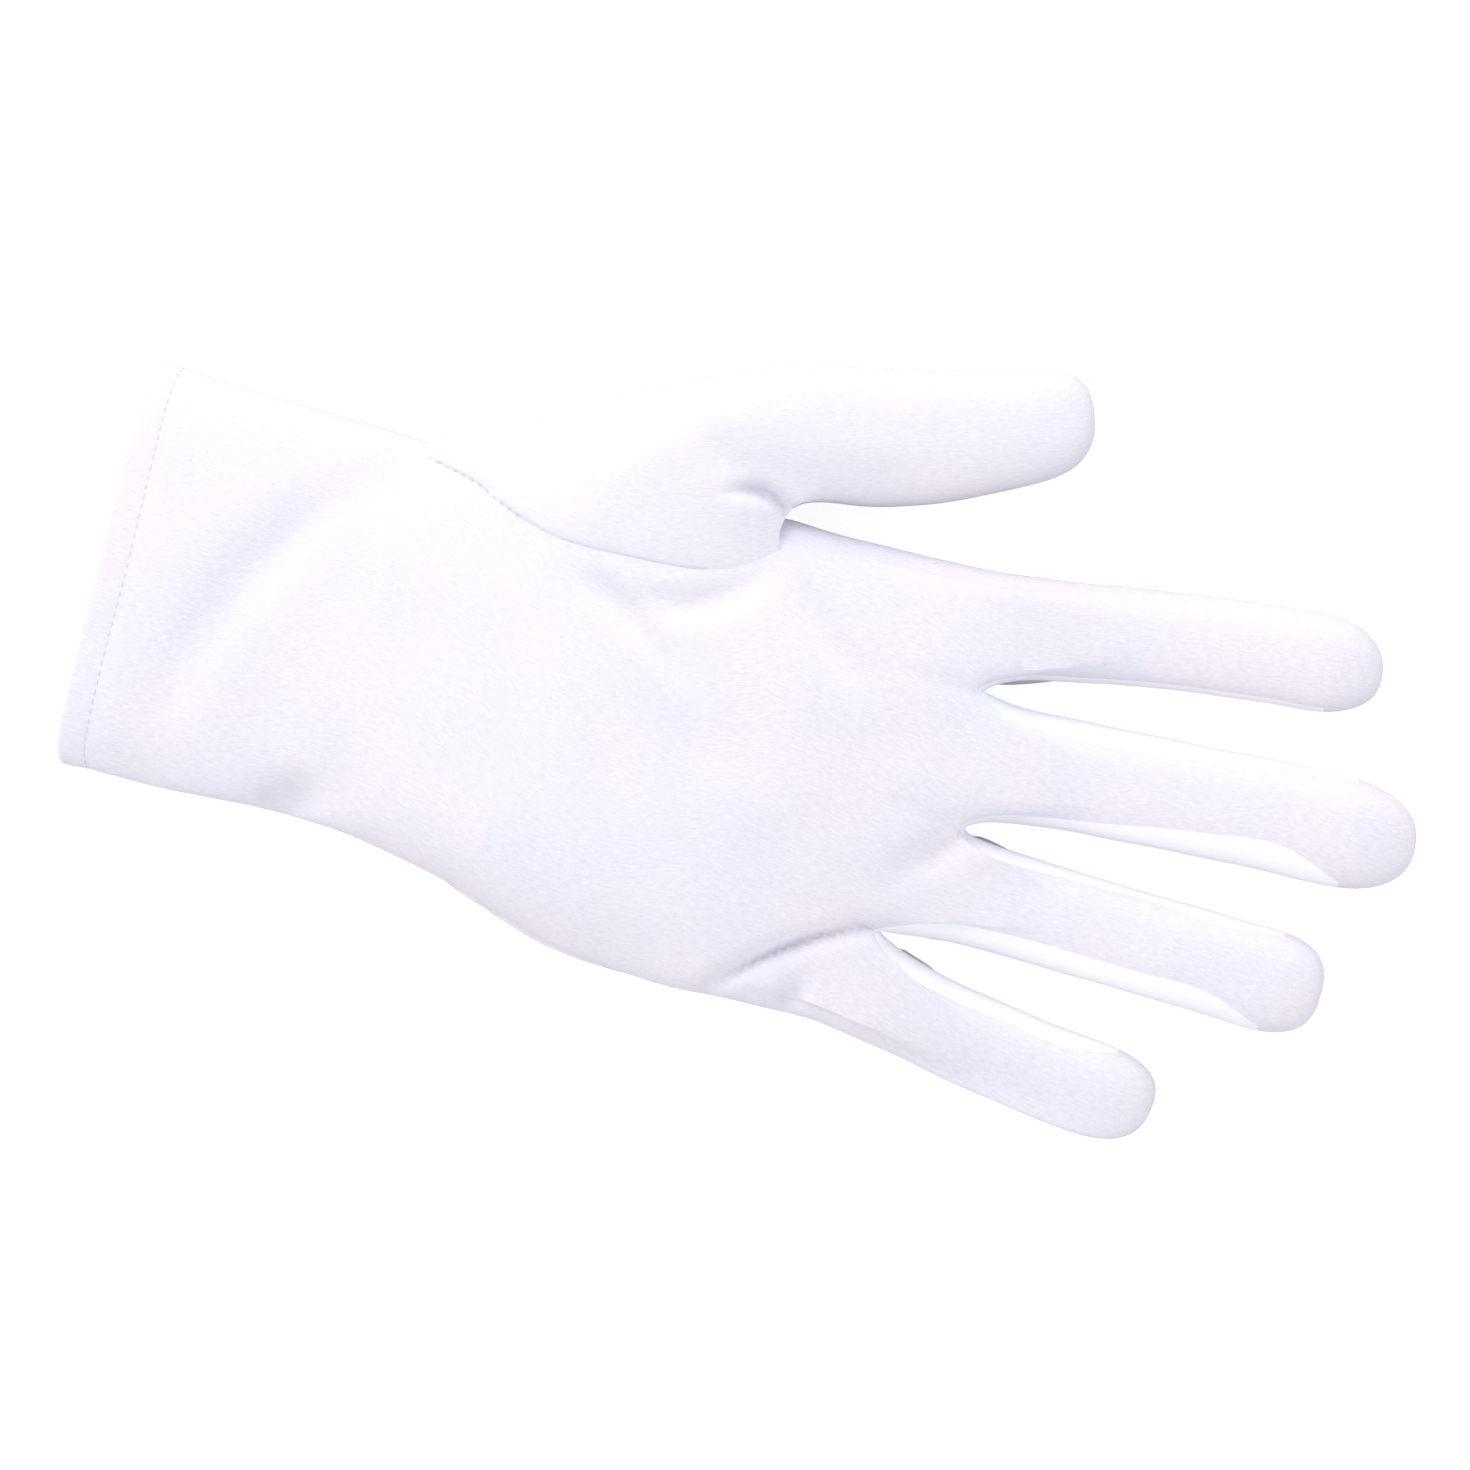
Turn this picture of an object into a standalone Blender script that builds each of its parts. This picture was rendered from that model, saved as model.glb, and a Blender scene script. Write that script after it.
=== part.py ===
"""Costume glove: a white knit dress glove for the left hand, lying on its back with the palm up.

The glove is sewn from a trank (palm and back in one cut), a thumb, three fourchettes between the
fingers and a turned hem. X runs from the cuff to the middle fingertip, Y towards the thumb, Z up.
All pieces share one skin of surface points; each takes its own faces of it and gets a cloth wall.
"""
import math

import bpy
import numpy as np

# Driving sizes, in metres
PALM_LENGTH = 0.150
CUFF_WIDTH = 0.0722
PALM_WIDTH = 0.0845
CUFF_HEIGHT = 0.021
PALM_HEIGHT = 0.028
ROOT_HEIGHT = 0.019
WALL = 0.0011
SEAM_GAP = 0.0004
HEM_WIDTH = 0.0052
CUFF_SLANT = 0.0029
CUFF_ROUNDING = 0.0012

INDEX_LENGTH = 0.0709
INDEX_WIDTH = 0.0176
INDEX_THICKNESS = 0.0150
MIDDLE_LENGTH = 0.0793
MIDDLE_WIDTH = 0.0198
MIDDLE_THICKNESS = 0.0155
RING_LENGTH = 0.0733
RING_WIDTH = 0.0182
RING_THICKNESS = 0.0150
LITTLE_LENGTH = 0.0572
LITTLE_WIDTH = 0.0170
LITTLE_THICKNESS = 0.0138
THUMB_LENGTH = 0.0462
THUMB_WIDTH = 0.0228
THUMB_THICKNESS = 0.0200
THUMB_SEAM_DEPTH = 0.0118

# Faces round the skin: on the palm side of one finger, on one side wall, and at the thumb's seam
FINGER_FACES = 4
SIDE_FACES = 3
THUMB_STRIP_FACES = 1
WRIST_ROWS = 6
THUMB_ROWS = 7
KNUCKLE_ROWS = 5
FINGER_ROWS = 9
TIP_ROWS = 4
THUMB_ROOT_ROWS = 5
THUMB_TUBE_ROWS = 4

# The trank's sections, from the cuff to the finger roots.
# along: share of PALM_LENGTH. flare: 0 is CUFF_WIDTH and 1 is PALM_WIDTH. centre: sideways shift,
# a share of PALM_WIDTH. swell: 0 is CUFF_HEIGHT and 1 is PALM_HEIGHT.
BODY_COLUMNS = ("along", "flare", "centre", "swell")
BODY = (
    (0.00, 0.00, 0.009, 0.00),
    (0.11, -0.10, -0.007, 0.10),
    (0.25, -0.21, -0.019, 0.14),
    (0.34, -0.20, -0.034, 0.30),
    (0.47, 0.31, -0.059, 0.66),
    (0.59, 0.89, -0.095, 0.95),
    (0.71, 1.00, -0.122, 1.00),
    (0.84, 0.87, -0.138, 0.78),
    (0.90, 0.88, -0.144, 0.55),
    (1.02, 1.15, -0.168, 0.20),
)

# Where the fingers part, from the thumb side to the little finger's side.
# along: share of PALM_LENGTH. across: share of PALM_WIDTH.
CROTCH_COLUMNS = ("along", "across")
CROTCHES = (
    (1.000, 0.345),
    (1.025, 0.096),
    (1.036, -0.183),
    (0.960, -0.430),
    (0.930, -0.655),
)

# The fingers. aim: degrees from X towards Y. bow: sideways bow, a share of the length.
# seam_a and seam_b: the palm seams' places on the thumb's side and the little finger's side, as
# shares of half the width, at the stations in SEAM_STATIONS from the root to the fourchette's end.
# blunt: how square the tip is. tip: length of the rounded tip, a share of the width.
FINGER_COLUMNS = ("length", "width", "thickness", "aim", "bow", "seam_a", "seam_b", "blunt", "tip")
FINGERS = {
    "index": (INDEX_LENGTH, INDEX_WIDTH, INDEX_THICKNESS, 4.7, 0.024,
              (0.90, 0.90, 0.90, 0.90, 0.90), (0.92, 0.92, 0.92, 0.92, 0.94), 2.3, 0.80),
    "middle": (MIDDLE_LENGTH, MIDDLE_WIDTH, MIDDLE_THICKNESS, -0.4, 0.008,
               (0.72, 0.64, 0.74, 0.86, 0.94), (0.90, 0.80, 0.58, 0.52, 0.92), 2.5, 0.88),
    "ring": (RING_LENGTH, RING_WIDTH, RING_THICKNESS, -5.2, 0.000,
             (0.74, 0.78, 0.86, 0.78, 0.92), (0.68, 0.57, 0.57, 0.58, 0.92), 2.9, 0.72),
    "little": (LITTLE_LENGTH, LITTLE_WIDTH, LITTLE_THICKNESS, -12.0, -0.022,
               (0.70, 0.63, 0.66, 0.68, 0.92), (0.90, 0.90, 0.90, 0.90, 0.90), 2.6, 0.80),
}

SEAM_STATIONS = (0.0, 0.3, 0.6, 0.85, 1.0)

# The width and thickness along a finger, as shares of its named width and thickness.
FINGER_PROFILE_COLUMNS = ("along", "width", "thickness")
FINGER_PROFILE = (
    (0.00, 1.06, 1.10),
    (0.20, 0.99, 1.02),
    (0.45, 0.97, 0.98),
    (0.70, 0.98, 0.97),
    (1.00, 1.00, 0.95),
)

# The thumb's seam on the palm side, from the wrist end to the web.
# along: share of the seam's length. inward: share of THUMB_SEAM_DEPTH, from the glove's edge.
THUMB_SEAM_COLUMNS = ("along", "inward")
THUMB_SEAM = (
    (0.00, 0.02),
    (0.15, 0.30),
    (0.29, 0.72),
    (0.38, 0.90),
    (0.48, 0.99),
    (0.58, 1.00),
    (0.67, 0.98),
    (0.81, 0.84),
    (0.91, 0.66),
    (1.00, 0.45),
)
# The places of the seam's two ends, as shares of PALM_LENGTH, and its depth on the back of the glove
THUMB_SEAM_START = 0.341
THUMB_SEAM_END = 0.765
BACK_SEAM_SHARE = 0.50

# The thumb's free sections: its middle line as shares of PALM_LENGTH and PALM_WIDTH at its root,
# its height there, and its aim.
THUMB_ROOT_ALONG = 0.800
THUMB_ROOT_ACROSS = 0.550
THUMB_ROOT_LIFT = 0.0135
THUMB_AIM = 15.7
THUMB_BOW = -0.036
THUMB_BLUNT = 2.7
THUMB_TIP = 0.52
THUMB_PROFILE_COLUMNS = ("along", "width", "thickness", "drop")
THUMB_PROFILE = (
    (0.00, 1.05, 1.06, 0.00),
    (0.14, 1.07, 1.02, 0.10),
    (0.50, 0.98, 0.90, 0.30),
    (0.75, 0.87, 0.82, 0.40),
    (1.00, 0.80, 0.76, 0.46),
)

# Folds pressed into the palm side. start, middle and end: places along and across the glove, as
# shares of PALM_LENGTH and PALM_WIDTH. depth and width in metres, as cloth folds keep their size.
FOLD_COLUMNS = ("piece", "start", "middle", "end", "depth", "width")
FOLDS = (
    ("trank", (0.253, 0.131), (0.133, -0.122), (0.087, -0.402), 0.0026, 0.0070),
    ("trank", (0.339, 0.368), (0.292, 0.314), (0.229, 0.245), 0.0012, 0.0070),
    ("trank", (0.300, -0.440), (0.285, -0.395), (0.270, -0.340), 0.0022, 0.0060),
    ("trank", (0.553, 0.213), (0.630, 0.110), (0.707, 0.006), 0.0013, 0.0060),
    ("trank", (0.797, 0.217), (0.829, 0.133), (0.867, 0.083), 0.0013, 0.0050),
    ("trank", (0.795, -0.622), (0.872, -0.517), (0.995, -0.389), 0.0026, 0.0058),
    ("trank", (1.030, -0.196), (1.000, -0.270), (0.975, -0.330), 0.0014, 0.0060),
    ("trank", (1.025, -0.120), (0.940, -0.150), (0.860, -0.230), 0.0008, 0.0070),
    ("thumb", (0.680, 0.425), (0.720, 0.428), (0.765, 0.400), 0.0040, 0.0040),
    ("thumb", (0.686, 0.515), (0.765, 0.449), (0.853, 0.500), 0.0012, 0.0060),
)

# Shape of the sections: how square they are, where the side walls begin, how far they are pressed flat
SECTION_SQUARENESS = 2.4
FINGER_SQUARENESS = 2.3
HUMP_SQUARENESS = 2.2
SIDE_SHARE = 0.93
BACK_SIDE_SHARE = 0.8
MIDDLE_HEIGHT = 0.46
FLAT_PRESS = 0.35
CROTCH_TOP = 0.78
CROTCH_BOTTOM = 0.14
WEB_BULGE = 0.0012
ROOT_BLEND = 0.014
# Shares of the way to the finger roots at which the rows begin to lean and the humps begin to rise
LEAN_START = 0.70
HUMP_START = 0.82
# Fingers: how the rings crowd towards the root, and how far a tip keeps its height as it narrows
RING_SPACING = 1.15
TIP_LIFT = 0.25
TIP_LIFT_POWER = 0.35
# Thumb: angles round a section at the web's and the wrist's corners of its seam, in degrees, how fast
# the tip thins, and the directions in which it leaves the seam: along, outwards and up
THUMB_WEB_ANGLE = 46.0
THUMB_WRIST_ANGLE = 152.0
THUMB_TIP_POWER = 0.6
THUMB_LEAVES_ALONG = 0.95
THUMB_LEAVES_OUT = 0.90
THUMB_LEAVES_OUT_AT_WRIST = 0.35
THUMB_LEAVES_UP = 1.00
THUMB_LEAVES_DOWN = 0.05
# Folds: points on a fold's curve, how it fades at its ends, its ridge, and the height where it starts
FOLD_POINTS = 49
FOLD_FADE = 0.12
FOLD_RIDGE = 1.2
FOLD_LOWEST = 0.007
FOLD_RISE = 0.006
# Seams and shading: the narrowest angle a rim point may sit in, and the edges that stay sharp
SHARPEST_SEAM = 0.35
SHARP_EDGE = 50.0
CLOTH_COLOUR = (0.93, 0.92, 0.95)
CLOTH_ROUGHNESS = 0.85


def column(table, names, name):
    """One named column of a table, as an array."""
    return np.array([row[names.index(name)] for row in table], dtype=float)


def through(places, values, at):
    """A smooth curve through the given values: cubic pieces whose slopes come from the neighbours."""
    places = np.asarray(places, dtype=float)
    values = np.asarray(values, dtype=float)
    slopes = np.gradient(values, places)
    at = np.clip(np.asarray(at, dtype=float), places[0], places[-1])
    i = np.clip(np.searchsorted(places, at) - 1, 0, len(places) - 2)
    step = places[i + 1] - places[i]
    t = (at - places[i]) / step
    return ((2 * t**3 - 3 * t**2 + 1) * values[i] + (t**3 - 2 * t**2 + t) * step * slopes[i]
            + (3 * t**2 - 2 * t**3) * values[i + 1] + (t**3 - t**2) * step * slopes[i + 1])


def smoothstep(t):
    """0 to 1 with level ends."""
    t = np.clip(t, 0.0, 1.0)
    return t * t * (3.0 - 2.0 * t)


def blend(a, b, t):
    """From a to b as t goes from 0 to 1."""
    return a + (b - a) * t


def arch(share, squareness):
    """Height of a superellipse at a share of its half width."""
    return (1.0 - np.clip(np.abs(share), 0.0, 1.0) ** squareness) ** (1.0 / squareness)


def arch_angle(share, squareness):
    """The superellipse's angle at which it reaches a share of its half width."""
    return np.arccos(np.clip(share, 0.0, 1.0) ** (squareness / 2.0))


def round_section(shares_palm, shares_back, faces, height, squareness):
    """One closed section: palm arc, far side wall, back arc and near side wall.

    shares_palm runs from the thumb's side to the little finger's side, shares_back the other way.
    Returns each point's sideways share and height. The back is pressed flat at height 0.
    """
    middle = MIDDLE_HEIGHT * height
    low = middle * (1.0 + FLAT_PRESS)

    def wall(share_up, share_down):
        top = arch_angle(share_up, squareness)
        bottom = -arch_angle(share_down, squareness)
        angle = blend(top, bottom, np.arange(1, faces) / faces)
        sideways = np.cos(angle) ** (2.0 / squareness)
        lift = np.sign(np.sin(angle)) * np.abs(np.sin(angle)) ** (2.0 / squareness)
        return sideways, np.where(lift > 0, middle + (height - middle) * lift, middle + low * lift)

    far_y, far_z = wall(-shares_palm[-1], -shares_back[0])
    near_y, near_z = wall(shares_palm[0], shares_back[-1])
    palm_z = middle + (height - middle) * arch(shares_palm, squareness)
    back_z = middle - low * arch(shares_back, squareness)
    sideways = np.concatenate([shares_palm, -far_y, shares_back, near_y[::-1]])
    lift = np.concatenate([palm_z, far_z, back_z, near_z[::-1]])
    return sideways, np.maximum(lift, 0.0)


def body_size(along):
    """Half width, sideways middle and height of the trank at a share of PALM_LENGTH."""
    places = column(BODY, BODY_COLUMNS, "along")
    flare = through(places, column(BODY, BODY_COLUMNS, "flare"), along)
    centre = through(places, column(BODY, BODY_COLUMNS, "centre"), along)
    swell = through(places, column(BODY, BODY_COLUMNS, "swell"), along)
    width = blend(CUFF_WIDTH, PALM_WIDTH, flare)
    return 0.5 * width, centre * PALM_WIDTH, blend(CUFF_HEIGHT, PALM_HEIGHT, swell)


def seam_shares(along, depth_share):
    """Sideways share of the thumb's seam at a share of PALM_LENGTH, and its natural share elsewhere."""
    natural = SIDE_SHARE * (1.0 - 2.0 / (4 * FINGER_FACES) * THUMB_STRIP_FACES)
    half, _, _ = body_size(along)
    place = (along - THUMB_SEAM_START) / (THUMB_SEAM_END - THUMB_SEAM_START)
    inward = through(column(THUMB_SEAM, THUMB_SEAM_COLUMNS, "along"),
                     column(THUMB_SEAM, THUMB_SEAM_COLUMNS, "inward"), place)
    seam = SIDE_SHARE - inward * depth_share * THUMB_SEAM_DEPTH / half
    before = smoothstep(1.0 + place * 3.0)
    after = smoothstep(1.0 - (place - 1.0) * 3.0)
    return blend(natural, seam, np.minimum(before, after))


def body_rows():
    """Shares of the way from the cuff to the finger roots.

    There is a row at the hem's edge and at each end of the thumb's seam.
    """
    start = THUMB_SEAM_START
    end = THUMB_SEAM_END
    return np.concatenate([
        [0.0], np.linspace(HEM_WIDTH / PALM_LENGTH, start, WRIST_ROWS)[:-1],
        np.linspace(start, end, THUMB_ROWS + 1)[:-1],
        np.linspace(end, 1.0, KNUCKLE_ROWS + 1),
    ])


def body_grid():
    """The trank's rows up to the finger roots, as an array of points: rows, columns, 3."""
    faces = 4 * FINGER_FACES
    root_across = column(CROTCHES, CROTCH_COLUMNS, "across") * PALM_WIDTH
    root_along = column(CROTCHES, CROTCH_COLUMNS, "along")
    q = np.arange(faces + 1)
    root_y = np.interp(q / FINGER_FACES, np.arange(5), root_across)
    root_x = through(np.arange(5), root_along, q / FINGER_FACES)
    near_side = np.full(SIDE_FACES - 1, root_x[0])
    far_side = np.full(SIDE_FACES - 1, root_x[-1])
    reach = np.concatenate([root_x, far_side, root_x[::-1], near_side])
    across = np.concatenate([
        q / faces, np.ones(SIDE_FACES - 1), 1.0 - q / faces, np.zeros(SIDE_FACES - 1)])
    root_half, root_centre, _ = body_size(root_x)
    spread = np.clip((root_y - root_centre) / root_half, -SIDE_SHARE, SIDE_SHARE)
    rows = []
    for share in body_rows():
        half, centre, height = body_size(share * reach)
        near = smoothstep((share - LEAN_START) / (1.0 - LEAN_START))
        shares = []
        for depth_share in (1.0, BACK_SEAM_SHARE):
            seam = seam_shares(share, depth_share)
            even = np.interp(q, [0, THUMB_STRIP_FACES, faces], [SIDE_SHARE, seam, -SIDE_SHARE])
            shares.append(blend(even, spread, near))
        palm, back = shares
        sideways, lift = round_section(palm, back[::-1], SIDE_FACES, 1.0, SECTION_SQUARENESS)
        edge = CUFF_SLANT * (0.5 - across) + CUFF_ROUNDING * np.abs(sideways) ** 12
        rows.append(np.stack([share * reach * PALM_LENGTH + edge * (1.0 - share) ** 3,
                              centre + half * sideways, lift * height], axis=1))
    return np.array(rows)


def crotch_curves():
    """The three webs between the fingers: points from the palm's slit end to the back's."""
    curves = []
    t = np.arange(SIDE_FACES + 1) / SIDE_FACES
    for along, across in CROTCHES[1:-1]:
        z = blend(CROTCH_TOP * ROOT_HEIGHT, CROTCH_BOTTOM * ROOT_HEIGHT, t)
        x = along * PALM_LENGTH + WEB_BULGE * np.sin(math.pi * t)
        curves.append(np.stack([x, np.full_like(z, across * PALM_WIDTH), z], axis=1))
    return curves


def root_row(body_end, curves):
    """The last row of the trank: four humps, one for each finger, with a valley at each slit."""
    row = body_end.copy()
    faces = 4 * FINGER_FACES
    back = faces + SIDE_FACES
    for side, level in ((0, 0), (back, -1)):
        for q in range(faces + 1):
            column_id = q if side == 0 else back + faces - q
            finger = min(q // FINGER_FACES, 3)
            t = q / FINGER_FACES - finger
            left = curves[finger - 1][level][2] if finger > 0 else body_end[column_id][2]
            right = curves[finger][level][2] if finger < 3 else body_end[column_id][2]
            hump = arch(2.0 * t - 1.0, HUMP_SQUARENESS)
            base = blend(left, right, t)
            peak = ROOT_HEIGHT if side == 0 else 0.0
            row[column_id][2] = blend(base, peak, hump)
            if q % FINGER_FACES == 0 and 0 < q < faces:
                row[column_id] = curves[q // FINGER_FACES - 1][level]
    return row


def finger_rings(name, root, rings):
    """A finger's free sections: an array of rings, points, 3, and the place of each ring."""
    (length, width, thickness, aim, bow, seam_a, seam_b, blunt, tip) = FINGERS[name]
    turn = math.radians(aim)
    direction = np.array([math.cos(turn), math.sin(turn)])
    across = np.array([-math.sin(turn), math.cos(turn)])
    tip_start = 1.0 - tip * width / length
    places = np.concatenate([
        np.linspace(0.0, 1.0, rings + 1) ** RING_SPACING * tip_start,
        blend(tip_start, 1.0, np.sin(np.arange(1, TIP_ROWS + 1) / (TIP_ROWS + 1) * math.pi / 2)),
    ])
    profile = column(FINGER_PROFILE, FINGER_PROFILE_COLUMNS, "along")
    out = []
    for place in places:
        narrow = arch(max(0.0, (place - tip_start) / (1.0 - tip_start)), blunt)
        half = 0.5 * width * narrow * through(
            profile, column(FINGER_PROFILE, FINGER_PROFILE_COLUMNS, "width"), place)
        tall = thickness * through(
            profile, column(FINGER_PROFILE, FINGER_PROFILE_COLUMNS, "thickness"), place)
        share_a = through(SEAM_STATIONS, seam_a, place / places[rings + 1])
        share_b = through(SEAM_STATIONS, seam_b, place / places[rings + 1])
        q = np.arange(FINGER_FACES + 1) / FINGER_FACES
        palm = blend(share_a, -share_b, q)
        back = blend(-max(share_b, BACK_SIDE_SHARE), max(share_a, BACK_SIDE_SHARE), q)
        sideways, lift = round_section(palm, back, SIDE_FACES, tall, FINGER_SQUARENESS)
        level = MIDDLE_HEIGHT * tall
        lift = np.maximum(level + (lift - level) * blend(TIP_LIFT, 1.0, narrow), 0.0)
        lift = level + (lift - level) * narrow ** TIP_LIFT_POWER
        line = root + direction * place * length
        line = line + across * bow * length * 4.0 * place * (1.0 - place)
        xy = line[None, :] + np.outer(half * sideways, across)
        out.append(np.column_stack([xy, lift]))
    line = root + direction * length
    pole = np.array([line[0], line[1], MIDDLE_HEIGHT * thickness * FINGER_PROFILE[-1][2]])
    return np.array(out), places * length, pole


def thumb_rings(loop):
    """The thumb: rings from its seam to its tip, and the tip's point."""
    ends = 2 * THUMB_STRIP_FACES + SIDE_FACES
    angles = np.concatenate([
        np.linspace(THUMB_WRIST_ANGLE, THUMB_WEB_ANGLE, THUMB_ROWS + 1)[:-1],
        np.linspace(THUMB_WEB_ANGLE, -THUMB_WEB_ANGLE, ends + 1)[:-1],
        np.linspace(-THUMB_WEB_ANGLE, -THUMB_WRIST_ANGLE, THUMB_ROWS + 1)[:-1],
        np.linspace(-THUMB_WRIST_ANGLE, THUMB_WRIST_ANGLE - 360.0, ends + 1)[:-1],
    ])
    phi = np.radians(angles)
    turn = math.radians(THUMB_AIM)
    direction = np.array([math.cos(turn), math.sin(turn), 0.0])
    across = np.array([-math.sin(turn), math.cos(turn), 0.0])
    root = np.array([THUMB_ROOT_ALONG * PALM_LENGTH, THUMB_ROOT_ACROSS * PALM_WIDTH, 0.0])
    tip_start = 1.0 - THUMB_TIP * THUMB_WIDTH / THUMB_LENGTH
    places = np.concatenate([
        np.linspace(0.0, tip_start, THUMB_TUBE_ROWS + 1),
        blend(tip_start, 1.0, np.sin(np.arange(1, TIP_ROWS + 1) / (TIP_ROWS + 1) * math.pi / 2)),
    ])
    profile = column(THUMB_PROFILE, THUMB_PROFILE_COLUMNS, "along")

    def free(place):
        narrow = arch(max(0.0, (place - tip_start) / (1.0 - tip_start)), THUMB_BLUNT)
        half = 0.5 * THUMB_WIDTH * narrow * through(
            profile, column(THUMB_PROFILE, THUMB_PROFILE_COLUMNS, "width"), place)
        tall = 0.5 * THUMB_THICKNESS * narrow ** THUMB_TIP_POWER * through(
            profile, column(THUMB_PROFILE, THUMB_PROFILE_COLUMNS, "thickness"), place)
        drop = through(profile, column(THUMB_PROFILE, THUMB_PROFILE_COLUMNS, "drop"), place)
        line = root + direction * place * THUMB_LENGTH
        line = line + across * THUMB_BOW * THUMB_LENGTH * 4.0 * place * (1.0 - place)
        power = 2.0 / FINGER_SQUARENESS
        sideways = -np.sign(np.cos(phi)) * np.abs(np.cos(phi)) ** power
        lift = np.sign(np.sin(phi)) * np.abs(np.sin(phi)) ** power
        ring = line[None, :] + np.outer(half * sideways, across)
        ring[:, 2] = THUMB_ROOT_LIFT * (1.0 - drop) + tall * lift
        return ring

    first = free(0.0)
    inner = np.cos(phi)
    start = np.stack([
        -THUMB_LEAVES_ALONG * inner,
        blend(THUMB_LEAVES_OUT, THUMB_LEAVES_OUT_AT_WRIST, np.clip(-inner, 0, 1)),
        THUMB_LEAVES_UP * np.clip(np.sin(phi), 0, 1)
        - THUMB_LEAVES_DOWN * np.clip(-np.sin(phi), 0, 1)], axis=1)
    start = start / np.linalg.norm(start, axis=1)[:, None]
    span = np.linalg.norm(first - loop, axis=1)[:, None]
    onward = direction + across * 4.0 * THUMB_BOW
    rings = [loop]
    for m in range(1, THUMB_ROOT_ROWS):
        t = m / THUMB_ROOT_ROWS
        rings.append((2 * t**3 - 3 * t**2 + 1) * loop + (t**3 - 2 * t**2 + t) * span * start
                     + (3 * t**2 - 2 * t**3) * first + (t**3 - t**2) * span * onward)
    rings += [free(place) for place in places]
    tip = root + direction * THUMB_LENGTH
    tip[2] = THUMB_ROOT_LIFT * (1.0 - THUMB_PROFILE[-1][3])
    rings = np.array(rings)
    rings[..., 2] = np.maximum(rings[..., 2], 0.0)
    return rings, tip


def fold_curve(fold):
    """Points along a fold: a curve through its start and end that bends by its middle."""
    t = np.linspace(0.0, 1.0, FOLD_POINTS)[:, None]
    start, middle, end = (np.array(p) * (PALM_LENGTH, PALM_WIDTH) for p in fold[1:4])
    bend = 2.0 * middle - 0.5 * (start + end)
    return (1 - t) ** 2 * start + 2 * t * (1 - t) * bend + t**2 * end


def press_folds(points, piece):
    """Push the palm side's points down along the folds, with a low ridge on each side of each."""
    out = points.copy()
    flat = out.reshape(-1, 3)
    for fold in FOLDS:
        if fold[0] != piece:
            continue
        depth, width = fold[4], fold[5]
        curve = fold_curve(fold)
        gap = np.linalg.norm(flat[:, None, :2] - curve[None, :, :], axis=2)
        nearest = gap.argmin(axis=1)
        d = gap.min(axis=1) / width
        ends = np.sin(math.pi * blend(FOLD_FADE, 1.0 - FOLD_FADE, nearest / (FOLD_POINTS - 1)))
        push = depth * ends * (1.0 - FOLD_RIDGE * d**2) * np.exp(-d**2)
        upper = smoothstep((flat[:, 2] - FOLD_LOWEST) / FOLD_RISE)
        flat[:, 2] -= push * upper
    return out


class Skin:
    """All surface points of the glove and the faces of each piece."""

    def __init__(self):
        self.points = []
        self.faces = {}

    def add(self, points):
        """Take in an array of points and return their numbers in the same layout."""
        shape = points.shape[:-1]
        first = len(self.points)
        self.points.extend(points.reshape(-1, 3))
        return np.arange(first, first + int(np.prod(shape))).reshape(shape)

    def quads(self, piece, a, b, c, d):
        """Faces with the given corner numbers."""
        self.faces.setdefault(piece, []).extend(zip(a, b, c, d))

    def fan(self, piece, ring, pole):
        """Close a ring with triangles to one point."""
        following = np.roll(ring, -1)
        self.faces.setdefault(piece, []).extend((i, j, pole) for i, j in zip(ring, following))

    def normals(self):
        """Outward direction at each point, from all the faces round it."""
        points = np.array(self.points)
        total = np.zeros_like(points)
        for faces in self.faces.values():
            for face in faces:
                corners = points[list(face)]
                across = np.cross(corners[2] - corners[0], corners[-1] - corners[1])
                if len(face) == 3:
                    across = np.cross(corners[1] - corners[0], corners[2] - corners[0])
                for i in face:
                    total[i] += across
        return total / np.maximum(np.linalg.norm(total, axis=1), 1e-12)[:, None]


def between_rows(skin, piece, lower, upper, keep=None):
    """Faces between two closed rows of point numbers; keep picks columns."""
    a, b = lower, np.roll(lower, -1)
    c, d = np.roll(upper, -1), upper
    if keep is not None:
        a, b, c, d = a[keep], b[keep], c[keep], d[keep]
    skin.quads(piece, a, b, c, d)


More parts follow.
